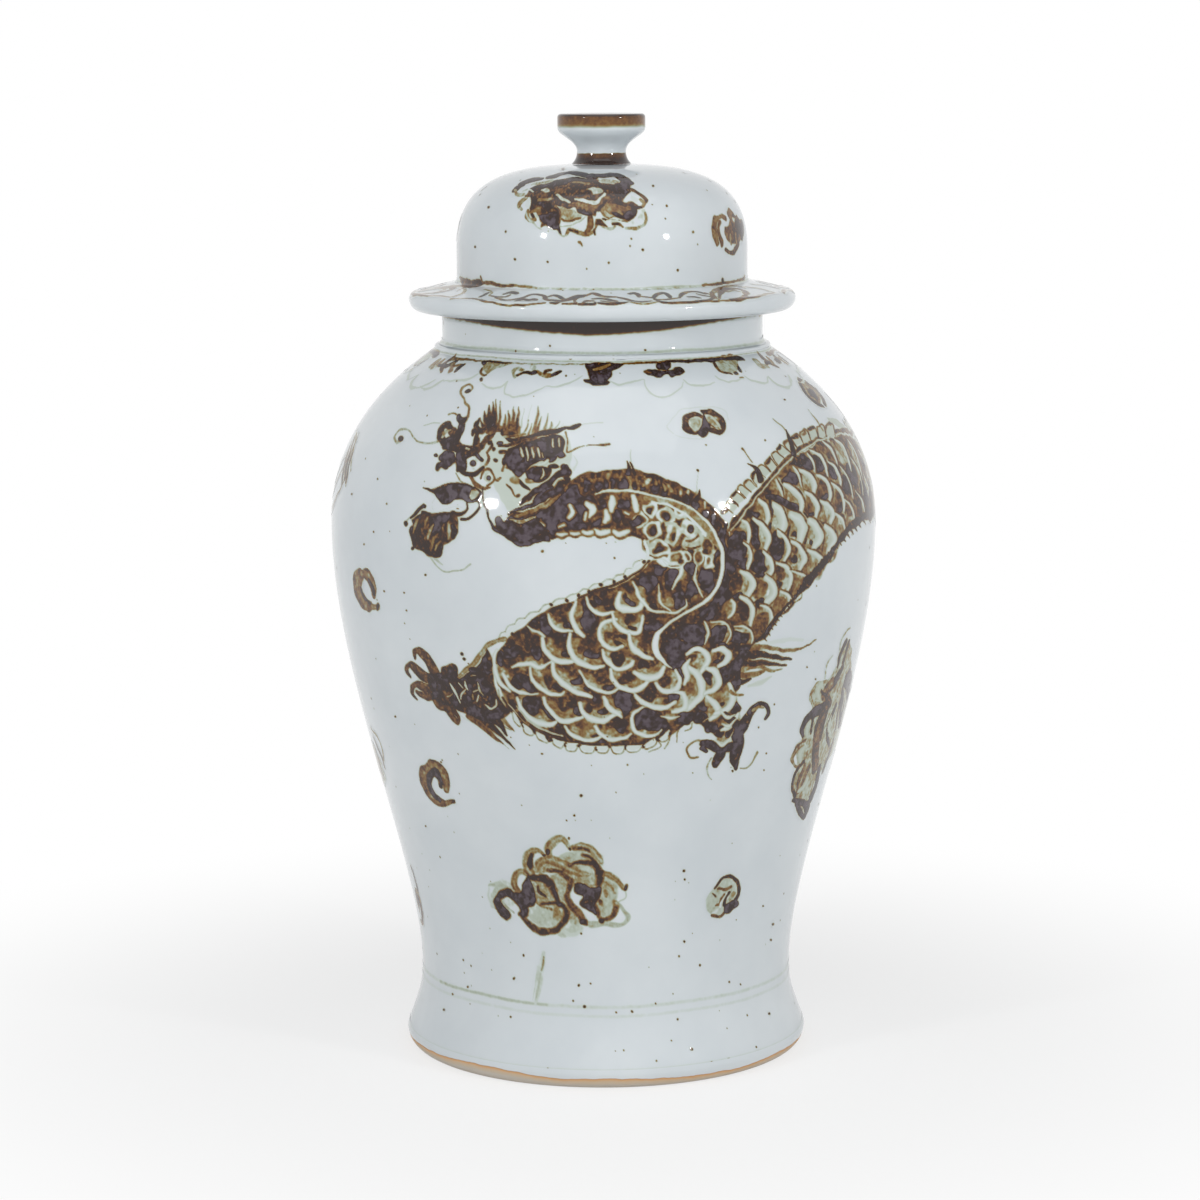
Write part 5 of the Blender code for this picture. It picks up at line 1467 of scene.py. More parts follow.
def round_by(place, degrees):
    """The same place, moved round the wall."""
    def there(points):
        spot = np.array(place(points))
        spot[:, 0] += math.radians(degrees)
        return spot
    return there


def shoulder_border(place):
    """Under the neck: a brown line, cloud tassels hanging from it, and a row of faint green scallops."""
    for points, load in (
        ([(449, 359, 3), (457, 359, 2), (470, 360, 1.4), (481, 361.5, 1.4)], 0.42),
        ([(481, 361.5, 2.4), (495, 362.5, 2.6), (509, 363.5, 1.4)], 0.66),
        ([(509, 363.5, 1.2), (545, 364, 1.4), (582, 364.5, 1.4)], 0.22),
        ([(620, 364, 1.8), (640, 363, 2), (664, 362, 2.4)], 0.50),
        ([(664, 362, 2.6), (690, 361, 2.8), (714, 359, 4), (729, 357.5, 5), (738, 358.5, 3)], 0.84),
        ([(432, 366, 2.4), (437, 363, 3), (441, 360, 2)], 0.34),
        ([(440, 366.5, 2.6), (446, 365.5, 3), (453, 361.5, 2.4)], 0.76), ([(450, 364, 3), (448, 371, 3)], 0.30),
        ([(452, 366, 2), (461, 364.5, 2)], 0.34), ([(453, 371, 2.4), (456, 368, 2.8), (460, 365, 2)], 0.80),
        ([(480, 368, 2), (478, 372, 2.4), (480, 375.5, 2), (483, 375, 1.4)], 0.46),
        ([(512, 377, 3), (510.5, 372, 4), (514, 368.5, 3.4), (520, 370, 3)], 0.20),
        ([(515, 375, 2), (522, 372.5, 2.6), (530, 373, 3)], 0.72),
        ([(534, 371, 3), (539, 374.5, 4), (545, 376, 4), (550, 376, 2)], 0.30),
        ([(541, 374, 2), (543, 371, 2.6), (547, 371, 2.4)], 0.60),
        ([(549, 375.5, 2), (552, 374.5, 3), (556, 372, 2.4)], 0.82),
        ([(710, 362, 2), (714, 368, 2), (718, 371.5, 2), (728, 374, 1.6)], 0.56),
        ([(733, 360, 3), (733, 365, 3), (737, 371, 2)], 0.76), ([(722, 364, 2), (725, 371, 3)], 0.28),
        ([(755, 353, 2), (762, 360, 3), (768, 363.5, 3), (775, 367, 1.6)], 0.56),
        ([(753, 361, 4), (758, 366, 4), (764, 366, 3)], 0.20),
    ):
        jar_line(place, points, load, uneven=0.1)
    filled(jar_wall, place,
           [(481, 362), (495, 363), (508, 364), (499, 367), (490, 370), (484, 374), (481, 370)],
           0.20, uneven=0.06)
    filled(jar_wall, place, [(712, 361), (733, 360), (734, 366), (732, 373), (720, 371), (715, 368)],
           0.14, uneven=0.08)
    filled(jar_wall, place,
           [(581, 364), (600, 363), (621, 364), (614, 369), (609, 371), (608, 376), (604, 380), (608, 382),
            (600, 386), (591, 385), (582, 383), (581, 380.5), (587, 379.5), (586, 374), (584, 369)],
           0.80, uneven=0.10)
    filled(jar_wall, place, [(655, 363), (668, 363), (667, 367), (664, 370), (657, 370), (655, 367)],
           0.93, uneven=0.06)
    filled(jar_wall, place,
           [(641, 372), (646, 370), (654, 370), (661, 371), (669, 369), (677, 368), (681, 372), (678, 376),
            (671, 376), (668, 377), (665, 374), (660, 375), (656, 378), (650, 376.5), (643, 375)],
           0.84, uneven=0.10)
    jar_line(place, [(592, 370, 3), (599, 368, 3.4), (607, 365, 2.4)], 0.38)
    jar_line(place, [(643, 372, 3), (647, 373, 2)], 0.42)
    for x, y, across, down, load in ((596, 379, 8, 4.5, 1.0), (481, 363, 2, 2, 0.84), (478, 379, 1.8, 1.6, 0.8),
                                     (532, 371.5, 2.4, 2.4, 0.84), (732, 373, 2, 1.8, 0.84),
                                     (738, 378, 1.6, 2, 0.30), (765, 363, 3, 2, 0.76), (530, 367, 4, 3, 0.12),
                                     (660, 366, 5, 3, 0.98)):
        blot(jar_wall, place, x, y, across, down, load, soft=0.0008, ragged=0.0006)
    for points in (
        [(417, 386), (421, 389), (428, 388), (435, 384), (440, 380)],
        [(440, 380), (450, 381), (460, 380), (468, 378), (475, 374)],
        [(479, 383), (484, 386.5), (491, 388), (498, 387), (504, 382)],
        [(505, 381), (502, 387), (503, 393), (510, 397), (522, 395), (532, 391), (541, 387)],
        [(541, 387), (552, 387), (562, 385), (572, 381), (580, 376)],
        [(608, 381), (614, 384), (622, 384), (632, 381), (640, 380)],
        [(641, 380), (643, 388), (650, 395), (660, 397.5), (669, 395), (677, 389), (681, 382)],
        [(681, 380), (688, 385), (696, 386), (704, 385), (711, 382)],
        [(712, 376), (718, 380), (726, 382), (734, 381), (740, 378)],
        [(741, 376), (748, 380.5), (755, 382), (763, 383), (764.5, 376)],
        [(765, 377), (771, 383), (779, 386.5), (787, 386.5), (788, 381), (785, 375)],
    ):
        jar_line(place, tapered(points, 2.0, 0.6), 0.075)


shoulder_border(front)
shoulder_border(round_by(front, 128))
shoulder_border(round_by(front, 238))


def ring(wall, height, width, load, wobble=0.0003, first=-181, last=181):
    """A line run round the wall with the brush held still, fading and thickening as it goes."""
    angle = np.radians(np.linspace(first, last, max(8, int((last - first) / 2))))
    middle = np.interp(-height, -wall.height, wall.run)
    sway = wobble * (np.sin(2 * angle + 1) + np.sin(5 * angle + 2) + 0.6 * np.sin(11 * angle))
    wall.stroke(np.stack([angle, middle + sway, np.full(len(angle), width)], 1), load, load * 0.6,
                uneven=load * 0.2, soft=0.0014, ragged=0.0001)


# Two lines incised round the waist, where the glaze pools green, and one more where the neck springs
ring(jar_wall, 0.0436, 0.0024, 0.058)
ring(jar_wall, 0.0387, 0.0022, 0.045)
ring(jar_wall, 0.0436, 0.0016, 0.12, first=-62, last=-18)
ring(jar_wall, 0.3886, 0.0024, 0.09)
ring(jar_wall, 0.3846, 0.0010, 0.16)
for points, load in (([(541, 952, 4), (538, 970, 7), (536, 988, 6), (533, 1004, 3)], 0.065),
                     ([(541, 957, 1.4), (540, 963, 2.2), (538.5, 970, 1.4)], 0.24),
                     ([(538, 973, 1), (536, 984, 1.6), (534, 997, 1)], 0.12),
                     ([(534.5, 966, 0.8), (532.5, 984, 1.1), (530, 1000, 0.8)], 0.08)):
    jar_line(front, points, load, soft=0.0012, ragged=0.0002, uneven=0.02)

# Iron specks that burst through the glaze in the firing: the ones in front, then others like them
for x, y, size in (
    (521, 955, 1.8), (511, 978, 1.8), (576, 985, 2), (582, 1006.5, 2.2), (588, 984, 1.1), (465, 987, 1.4),
    (450, 994, 1.3), (441, 1010, 1.6), (508, 1017, 1.4), (613, 1012, 1.2), (629, 1012.5, 1.6), (675, 1019, 1.5),
    (697, 965, 1.6), (676, 956, 1.4), (726, 982, 1.2), (738, 984, 1.2), (744, 1016, 1.2), (766, 1014, 1.5),
    (689, 1049, 2.1), (753, 1047, 1.3), (621, 1050, 1.1), (654, 1061, 1.3), (709, 1064, 1.3), (726, 1059, 1.1),
    (545, 1068, 1), (375, 479, 1.2), (384, 504, 1.4), (349, 494, 1.2), (423, 576, 1.6), (381, 591, 1.2),
    (401, 592, 1.2), (404, 611, 1.1), (371, 532, 1.1), (361, 544, 1.1), (392, 716, 1.3), (423, 826, 1.2),
    (438, 762, 1.3), (540, 551, 2.2), (612, 558, 1.3), (539, 754, 1.4), (625, 765, 1.3), (703, 445, 1.2),
    (762, 440, 1.2), (782, 400, 1.4), (739, 449, 1.1), (729, 771, 1.6), (763, 753, 1.1), (761, 770, 1.1),
    (812, 680, 1.3), (804, 667, 1.2), (566, 838, 1.6), (579, 796, 2), (571, 815, 1.6), (681, 871, 2),
    (682, 879, 1.6), (681, 941, 1.6), (770, 924, 1.8), (768, 939, 1.4), (760, 906, 1.1), (568, 358, 2.4),
    (611, 357, 2.2), (642, 350, 1.5), (563, 376, 1.3), (513, 351, 1.1), (547, 346, 1.2),
):
    blot(jar_wall, front, x, y, size * 0.66, size * 0.66, 0.62, soft=0.0006, ragged=0.0003)
chance = np.random.default_rng(5)
for angle, height, size in zip(chance.uniform(-180, 180, 330), chance.uniform(0.02, 0.40, 330),
                               chance.exponential(0.28, 330)):
    spot = around([(math.radians(angle) * BELLY_RADIUS * 1000, height * 1000)])[0]
    size = 0.0004 + size * 0.0009
    jar_wall.stroke([(spot[0], spot[1], size), (spot[0] + 0.0005, spot[1] + 0.0001, size)],
                    min(0.9, 0.3 + size * 500), 0.2, soft=0.0007, ragged=0.0002, soak=True)


# Out of the camera's sight the dragon goes on round the jar, drawn to the same rule as in front: a scaly
# body that dips, rises and thins to a tail, two hind legs, and clouds and commas between them.
# Rows of scales in sizes of a scale, places across the body in shares of its half width with the ridge's
# side positive, and fins and spikes by the millimetre
SCALE_PITCH, SCALE_WIDTH = 0.62, 0.95
LOWEST_SCALE, SCALED_SPAN, HIGHEST_SCALE = -0.86, 1.62, 0.70
RIDGE, FIN_PITCH, SPIKE_PITCH = 0.86, 9.0, 34


def scaly(place, spine, size=15.0, seed=3):
    """A length of body along a spine of x, y and half width: ground, scales in staggered rows, ridge, belly."""
    chance = np.random.default_rng(seed)
    line = eased(spine, 2.0)
    lean = np.gradient(line[:, :2], axis=0)
    lean /= np.hypot(*lean.T)[:, None]
    side = np.stack([lean[:, 1], -lean[:, 0]], 1)
    run = np.concatenate([[0], np.cumsum(np.hypot(*np.diff(line[:, :2], axis=0).T))])

    def at(along, across):
        """Points on the body: millimetres along it and shares of its half width across, ridge side positive."""
        middle = [np.interp(along, run, line[:, k]) for k in range(3)]
        out = [np.interp(along, run, side[:, k]) for k in range(2)]
        return np.stack([middle[0] + out[0] * across * middle[2], middle[1] + out[1] * across * middle[2]], 1)

    steps = np.arange(0, run[-1], 6.0)
    back = at(steps, np.full(len(steps), 1.0))
    front_edge = at(steps, np.full(len(steps), -1.0))[::-1]
    filled(jar_wall, place, [tuple(p) for p in np.concatenate([back, front_edge])], 0.62, uneven=0.2)
    for k in range(int(run[-1] / (size * SCALE_PITCH))):
        along = k * size * SCALE_PITCH
        half = np.interp(along, run, line[:, 2])
        rows = max(2, int(round(2 * half / (size * SCALE_WIDTH))))
        for j in range(rows):
            across = LOWEST_SCALE + SCALED_SPAN * (j + (0.5 if k % 2 else 0.0)) / rows
            if across > HIGHEST_SCALE:
                continue
            reach = SCALE_PITCH * SCALE_WIDTH * 1.72 / rows
            wiggle = chance.normal(0, 0.5, 2)
            arc = at(along + size * np.array([-0.30, 0.12, 0.30, 0.12, -0.30]) + wiggle[0],
                     across + reach * np.array([-1.0, -0.6, 0.0, 0.6, 1.0]))
            arc = [tuple(p) for p in arc]
            bloomed(jar_wall, place, arc, 2.8)
            if chance.random() < 0.66:
                heart = at(np.array([along - size * 0.16]), np.array([across]))[0]
                blot(jar_wall, place, heart[0], heart[1], size * chance.uniform(0.14, 0.26),
                     size * chance.uniform(0.16, 0.34), chance.choice([0.70, 0.84, 0.97]),
                     turn=chance.uniform(-40, 40), soft=0.0008, ragged=0.0009)
            wiped(jar_wall, place, arc, 2.6)
    ridge = at(steps, np.full(len(steps), RIDGE))
    jar_line(place, [(x, y, 1.5) for x, y in ridge], 0.05)
    for along in np.arange(4, run[-1] - 4, FIN_PITCH):
        half = np.interp(along, run, line[:, 2])
        fin = at(along + np.array([-4.4, -2.6, 1.6, 4.4]), 1.0 + np.array([0.02, 4.6, 4.8, 0.02]) / half)
        filled(jar_wall, place, [tuple(p) for p in fin], 0.09)
        jar_line(place, [(*p, 0.9) for p in fin], 0.32)
        for shift in (0, FIN_PITCH / 2):
            bead = at(along + shift + np.array([-2.2, 0.0, 2.2]), -1.0 - np.array([0.0, 1.8, 0.0]) / half)
            jar_line(place, [(*p, 0.8) for p in bead], 0.36)
    for along in np.arange(20, run[-1], SPIKE_PITCH):
        spike = at(along + np.array([0.0, -2.0, -7.0]), 1.0 + np.array([0.05, 0.4, 0.9]))
        jar_line(place, [(x, y, w) for (x, y), w in zip(spike, (2.4, 1.2, 0.4))], 0.6)


def hind_leg(place):
    """A leg drawn about (0, 0) in millimetres, its foot down and to the left."""
    filled(jar_wall, place,
           [(10, -16), (22, -8), (18, 4), (6, 10), (-8, 20), (-16, 26), (-22, 22), (-14, 12), (-4, 2), (2, -8)],
           0.74, uneven=0.2)
    for points in ([(14, -8), (16, -2), (12, 3)], [(6, -4), (9, 1), (6, 6)], [(0, 4), (3, 8), (-1, 12)],
                   [(-8, 12), (-5, 15), (-9, 19)], [(8, -12), (12, -8), (10, -3)]):
        wiped(jar_wall, place, points, 1.8)
    for x, y, across, down in ((15, -4, 4, 5), (3, 6, 4, 3), (-10, 19, 4, 3), (-16, 22, 3, 3)):
        blot(jar_wall, place, x, y, across, down, 0.96)
    for points in ([(-17, 21, 4), (-25, 18, 3), (-30, 21, 2), (-29, 26, 1)],
                   [(-18, 24, 4), (-26, 27, 3), (-31, 32, 2), (-28, 36, 1)],
                   [(-15, 26, 4), (-19, 34, 3), (-18, 40, 2), (-14, 41, 1)],
                   [(-12, 25, 3), (-7, 32, 2.4), (-4, 34, 1.6), (-1, 31, 1)]):
        jar_line(place, points, 0.44, 0.72)
    for points in ([(18, 4, 5), (28, 12, 3), (36, 22, 0.8)], [(14, 6, 5), (22, 16, 3), (28, 27, 0.8)],
                   [(21, 0, 4), (32, 5, 2.4), (42, 12, 0.6)]):
        jar_line(place, points, 0.70, 0.5, soak=True)


scaly(overhead,
      [(204, -318.5, 21.5), (216, -318.5, 22), (232, -315, 23), (250, -306, 24), (272, -290, 25),
       (300, -262, 25), (330, -244, 25), (362, -240, 25), (394, -250, 24), (424, -270, 23), (452, -293, 21),
       (482, -309, 19), (514, -312, 17), (544, -300, 15), (570, -280, 13), (594, -265, 11), (618, -262, 8.6),
       (640, -272, 6.4), (658, -290, 4.4), (670, -308, 2.6)])
filled(jar_wall, overhead, [(192, -303), (198, -309), (206, -309), (209, -299), (200, -296), (192, -296)],
       0.62, uneven=0.2)
jar_line(overhead, [(189, -297, 3.4), (198, -296, 3.6), (208, -296.5, 3), (219, -297.5, 2)],
         0.78, 0.66, ragged=0.0008)
hind_leg(moved(overhead, (0, 0), (322, -218), 1.15))
hind_leg(moved(overhead, (0, 0), (516, -280), 1.05, turn=-12, flip=-1))
for hair in ([(671, -309, 3), (688, -303, 3), (708, -307, 2.4), (728, -320, 1.4), (736, -330, 0.8)],
             [(672, -311, 3), (690, -308, 2.6), (708, -315, 2), (724, -330, 0.8)],
             [(672, -308, 2.4), (692, -297, 2.6), (714, -298, 2.2), (736, -310, 1.4), (746, -320, 0.8)]):
    jar_line(overhead, hair, 0.56, 0.34, soak=True)
for tip, bend in (((690, -340), (681, -322)), ((698, -334), (686, -318)), ((684, -346), (676, -326)),
                  ((704, -326), (688, -312)), ((676, -348), (671, -328)), ((706, -318), (690, -307))):
    jar_line(overhead, [(671, -306, 4), (*bend, 2.6), (*tip, 0.6)], 0.52, 0.36, soak=True)
for x, y, size, turn in ((320, -108, 0.52, 14), (468, -132, 0.50, -20), (612, -112, 0.50, 8)):
    cloud(moved(overhead, CLOUD_MIDDLE, (x, y), size, turn))
cloud(moved(overhead, CLOUD_MIDDLE, (727, -160), 0.24, -12))
comma(moved(overhead, (421, 784), (749, -81), 0.50, flip=-1))
for x, y, size, turn in ((268, -150, 0.5, 20), (392, -176, 0.5, -160), (470, -212, 0.48, 30),
                         (556, -182, 0.5, 170), (676, -190, 0.5, 0), (560, -110, 0.44, 60),
                         (396, -98, 0.5, -30), (404, -318, 0.5, 10), (346, -296, 0.44, 180),
                         (590, -330, 0.5, -20)):
    comma(moved(overhead, COMMA_MIDDLE, (x, y), size, turn))
for x, y, size, turn in ((440, -338, 0.5, 0), (630, -214, 0.5, 20), (262, -226, 0.5, -10)):
    puff(moved(overhead, PUFF_MIDDLE, (x, y), size, turn))
for x, y, size, turn in ((452, -166, 0.5, 0), (540, -148, 0.5, 30)):
    ring_of_cloud(moved(overhead, LOOP_MIDDLE, (x, y), size, turn))


def haloed(wall, spread=0.0010, share=0.30, most=0.085):
    """Lets a little iron bleed into the glaze round the strokes, as a faint green halo."""
    rough = np.fft.rfft2(np.minimum(wall.iron, 0.5))
    down = np.fft.fftfreq(wall.iron.shape[0], wall.cell)[:, None]
    round_ = np.fft.rfftfreq(wall.iron.shape[1], wall.cell)[None, :]
    bled = np.fft.irfft2(rough * np.exp(-(down ** 2 + round_ ** 2) * 2 * (math.pi * spread) ** 2),
                         wall.iron.shape)
    wall.iron = np.maximum(wall.iron, np.clip(share * bled, 0, most)).astype(np.float32)


FILM = 0.00007
LEAST_IRON = 0.014


def painted(name, wall, left, right, top, foot, body):
    """The iron that lies between two angles and two heights of a wall, as a film just over its glaze."""
    first = int(math.radians(left) / wall.turn)
    last = int(math.radians(right) / wall.turn)
    high = int(np.searchsorted(-wall.height, -top))
    low = min(int(np.searchsorted(-wall.height, -foot)), len(wall.run) - 1)
    columns, rows = np.arange(first, last + 1), np.arange(high, low + 1)
    iron = wall.iron[np.ix_(rows, columns % wall.columns)]
    thick = iron > LEAST_IRON
    kept = (thick[:-1, :-1] | thick[:-1, 1:] | thick[1:, :-1] | thick[1:, 1:]).ravel()

    bm = bmesh.new()
    bmesh.ops.create_grid(bm, x_segments=len(columns) - 1, y_segments=len(rows) - 1, size=1.0)
    bmesh.ops.delete(bm, geom=[face for face, keep in zip(bm.faces, kept) if not keep], context="FACES")
    mesh = bpy.data.meshes.new(name)
    bm.to_mesh(mesh)
    bm.free()

    # The flat grid runs from -1 to 1 both ways: columns across it, and rows down the wall
    flat = np.empty(len(mesh.vertices) * 3, np.float32)
    mesh.vertices.foreach_get("co", flat)
    column = np.rint((flat[0::3] + 1) / 2 * (len(columns) - 1)).astype(int)
    row = np.rint((flat[1::3] + 1) / 2 * (len(rows) - 1)).astype(int)
    angle = (columns[0] + column) * wall.turn
    radius = wall.radius[high + row] + FILM * wall.out[high + row, 0]
    height = wall.height[high + row] + FILM * wall.out[high + row, 1]
    spots = np.stack([radius * np.sin(angle), -radius * np.cos(angle), height], 1).astype(np.float32)
    mesh.vertices.foreach_set("co", spots.ravel())
    mesh.attributes.new("iron", "FLOAT", "POINT").data.foreach_set("value",
                                                                   iron[row, column].astype(np.float32))

    # Its own map, named OFBake: the strip of wall, folded so that it comes out about square
    strips = max(1, round(math.sqrt(len(columns) / len(rows))))
    length = math.ceil(len(columns) / strips)
    corners = np.empty(len(mesh.loops), np.int32)
    mesh.loops.foreach_get("vertex_index", corners)
    across, down = column[corners].reshape(-1, 4), row[corners].reshape(-1, 4)
    strip = np.minimum(across.min(1, keepdims=True) // length, strips - 1)
    u = (across - strip * length + 1) / (length + 3)
    v = 1 - (down + strip * (len(rows) + 2) + 1) / (strips * (len(rows) + 2) + 1)
    mesh.uv_layers.new(name="OFBake").data.foreach_set("uv", np.stack([u, v], 2).astype(np.float32).ravel())

    bm = bmesh.new()
    bm.from_mesh(mesh)
    bmesh.ops.reverse_faces(bm, faces=bm.faces)
    bm.to_mesh(mesh)
    bm.free()
    mesh.shade_smooth()
    mesh.materials.append(celadon)
    piece = bpy.data.objects.new(name, mesh)
    bpy.context.scene.collection.objects.link(piece)
    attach(piece, body)
    return piece


def fired(wall):
    """What the fire does to the iron. Thin washes gather in pools and run paler between them. Where it lies
    thickest it crawls into islands of purple crust, and the brown between them breaks to honey in flecks."""
    pools = 0.55 * wall.grain(0.0024) + 0.55 * wall.grain(0.0009)
    thin = np.clip((wall.iron - 0.09) / 0.12, 0, 1) * np.clip((0.70 - wall.iron) / 0.10, 0, 1)
    wall.iron = wall.iron + 0.12 * thin * pools
    islands = 0.7 * wall.grain(0.0028) + 0.45 * wall.grain(0.0013)
    thick = np.clip((wall.iron - 0.70) / 0.06, 0, 1)
    crust = 0.750 + 0.66 * (wall.iron - 0.72) + 0.145 * islands
    wall.iron = wall.iron + thick * (crust - wall.iron)
    flecks = np.clip(wall.grain(0.0011) - 0.35, 0, 1)
    brown = np.clip((wall.iron - 0.45) / 0.10, 0, 1) * np.clip((0.82 - wall.iron) / 0.05, 0, 1)
    wall.iron = np.clip(wall.iron - 0.26 * brown * flecks, 0, 1).astype(np.float32)


fired(jar_wall)

# The mouth's iron band under the lid, partly painted shadow: in front it dips to the edge of the brim's shadow
filled(jar_wall, front, [
    (443, 317), (456, 319.5), (470, 322), (500, 327.5), (550, 332.5), (575, 334.5), (590, 335), (605, 334.5),
    (640, 332), (670, 328.5), (700, 324), (740, 316.5), (756, 312.5), (757, 300), (700, 300), (600, 300),
    (500, 300), (442, 300),
], 0.72, soft=0.0020, ragged=0.0002, uneven=0.05)
ring(jar_wall, 0.4048, 0.0052, 0.74, first=76, last=284)

# Its film over the glaze, cut where the dragon's parts and the bands meet: the angles of each piece in
# degrees from the front, and its top and foot in metres
haloed(jar_wall)
for name, left, right, top, foot in (
    # The neck line piece carries the iron mouth band too, which is partly painted shadow under the brim
    ("brushed_neck_line_and_painted_shadow", -180, 180, 0.4062, 0.3840), ("brushed_shoulder_border", -180, 180, 0.3840, 0.3602),
    ("dragon_head", -75, -7, 0.3602, 0.2702), ("dragon_neck", -7, 30, 0.3602, 0.2702),
    ("dragon_flank", 30, 100, 0.3602, 0.2702),
    ("dragon_foreleg", -75, -7, 0.2702, 0.1652), ("dragon_belly", -7, 30, 0.2702, 0.1652),
    ("dragon_far_foreleg_and_cloud", 30, 100, 0.2702, 0.1652),
    ("dragon_rump", 100, 155, 0.3602, 0.2502), ("dragon_tail", 155, 225, 0.3602, 0.2502),
    ("dragon_tail_tip", 225, 285, 0.3602, 0.2502),
    ("dragon_hind_leg", 100, 155, 0.2502, 0.1652), ("dragon_far_hind_leg", 155, 225, 0.2502, 0.1652),
    ("clouds_left_side", 225, 285, 0.2502, 0.1652),
    ("clouds_low_front", -75, 105, 0.1652, 0.0802), ("clouds_low_back", 105, 285, 0.1652, 0.0802),
    ("brushed_waist_lines", -180, 180, 0.0802, 0.0100),
):
    painted(name, jar_wall, left, right, top, foot, "jar")


# The lid: a dome thrown with its brim in one piece, open underneath, in the same glaze inside and out.
LID_SEAT = 0.408
DOME_TOP, DOME_RADIUS, DOME_SIDE_TOP, DOME_WALL = 0.483, 0.0786, 0.438, 0.0068
KNOB_FOOT_RADIUS = 0.016
BRIM_RADIUS, BRIM_TIP_HEIGHT, BRIM_TOP = 0.1046, 0.4115, 0.4157
BRIM_ROOT, BRIM_FILLET = 0.4203, 0.0025
HOLLOW_RADIUS, HOLLOW_TOP = 0.0718, 0.430

dome_line = drawn(
    (KNOB_FOOT_RADIUS, DOME_TOP), (0.0561, DOME_TOP - 0.001),
    (DOME_RADIUS, 0.4718), (DOME_RADIUS, DOME_SIDE_TOP), 90,
)
brim_line = np.concatenate([
    rounded((DOME_RADIUS + BRIM_FILLET, BRIM_ROOT + BRIM_FILLET), BRIM_FILLET, 180, 262, 7),
    [(0.085, 0.4193), (0.090, 0.4181), (0.095, 0.4169)],
    rounded((0.100, BRIM_TIP_HEIGHT), (0.0046, BRIM_TOP - BRIM_TIP_HEIGHT), 90, 0, 12),
])
under_dome = moved_in(dome_line, DOME_WALL)[::3]
under_dome = under_dome[under_dome[:, 1] > HOLLOW_TOP]
lid_outline = np.concatenate([
    [(0, DOME_TOP)],
    dome_line,
    brim_line,
    rounded((0.0986, BRIM_TIP_HEIGHT), (0.006, 0.0063), -8, -90, 12),
    rounded((0.0976, LID_SEAT), (0.003, 0.0028), -90, -170, 5),
    [(0.0940, LID_SEAT), (HOLLOW_RADIUS + EASED_EDGE, LID_SEAT)],
    rounded((HOLLOW_RADIUS + EASED_EDGE, LID_SEAT + EASED_EDGE), EASED_EDGE, -90, -180, 4),
    [(HOLLOW_RADIUS, HOLLOW_TOP)],
    under_dome[::-1],
    [(0, DOME_TOP - DOME_WALL)],
])
lid = turned("lid_glaze", lid_outline, TURNS)
lid.data.materials.append(celadon)
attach(lid, "lid")
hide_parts("lid_dome")


def bare_clay(name):
    """Porcelain left without glaze: dry and creamy, turned in fine rings, with a tan flash in patches."""
    clay = bpy.data.materials.new(name)
    clay.use_nodes = True
    tree = clay.node_tree
    shader = tree.nodes["Principled BSDF"]
    place = node(tree, "ShaderNodeTexCoord").outputs["Object"]
    flash = node(tree, "ShaderNodeTexNoise", {"Vector": place}, Scale=22.0, Detail=4.0, Roughness=0.6)
    colour = ramp(tree, flash.outputs["Fac"], (0.36, "#D2CBC0"), (0.55, "#CDC0AE"), (0.72, "#CFA57A"))
    tree.links.new(colour, shader.inputs["Base Color"])
    shader.inputs["IOR"].default_value = 1.5
    grit = node(tree, "ShaderNodeTexNoise", {"Vector": place}, Scale=900.0, Detail=2.0)
    rough = node(tree, "ShaderNodeMapRange", {"Value": grit.outputs["Fac"]}, To_Min=0.58, To_Max=0.78)
    tree.links.new(rough.outputs[0], shader.inputs["Roughness"])
    turning = node(tree, "ShaderNodeTexWave", {"Vector": place}, wave_type="BANDS", bands_direction="Z",
                   Scale=180.0, Distortion=0.6)
    rings = node(tree, "ShaderNodeBump", {"Height": turning.outputs["Fac"]}, Strength=0.5, Distance=0.00008)
    dry = node(tree, "ShaderNodeBump", {"Height": grit.outputs["Fac"], "Normal": rings.outputs[0]},
               Strength=0.4, Distance=0.00005)
    tree.links.new(dry.outputs[0], shader.inputs["Normal"])
    return clay


# The locating ring: a low wall thrown on under the lid, that stands inside the neck and keeps the lid
# centred. It is wiped clean of glaze, like the jar's foot, so that it doesn't stick in the firing.
locating_ring = bpy.data.objects["locating_ring"]
locating_ring.material_slots[0].material = bare_clay("bare_porcelain_ring")

# The brushwork on the lid: a tangle of flowers over the dome, a small one at its right, a thin line in
# the angle of dome and brim, and a scroll of leaves that runs round on the brim. It is painted the same way.
lid_wall = Wall(np.concatenate([dome_line, brim_line]), CELL, BRIM_RADIUS, 5)
lid_front = lid_wall.under


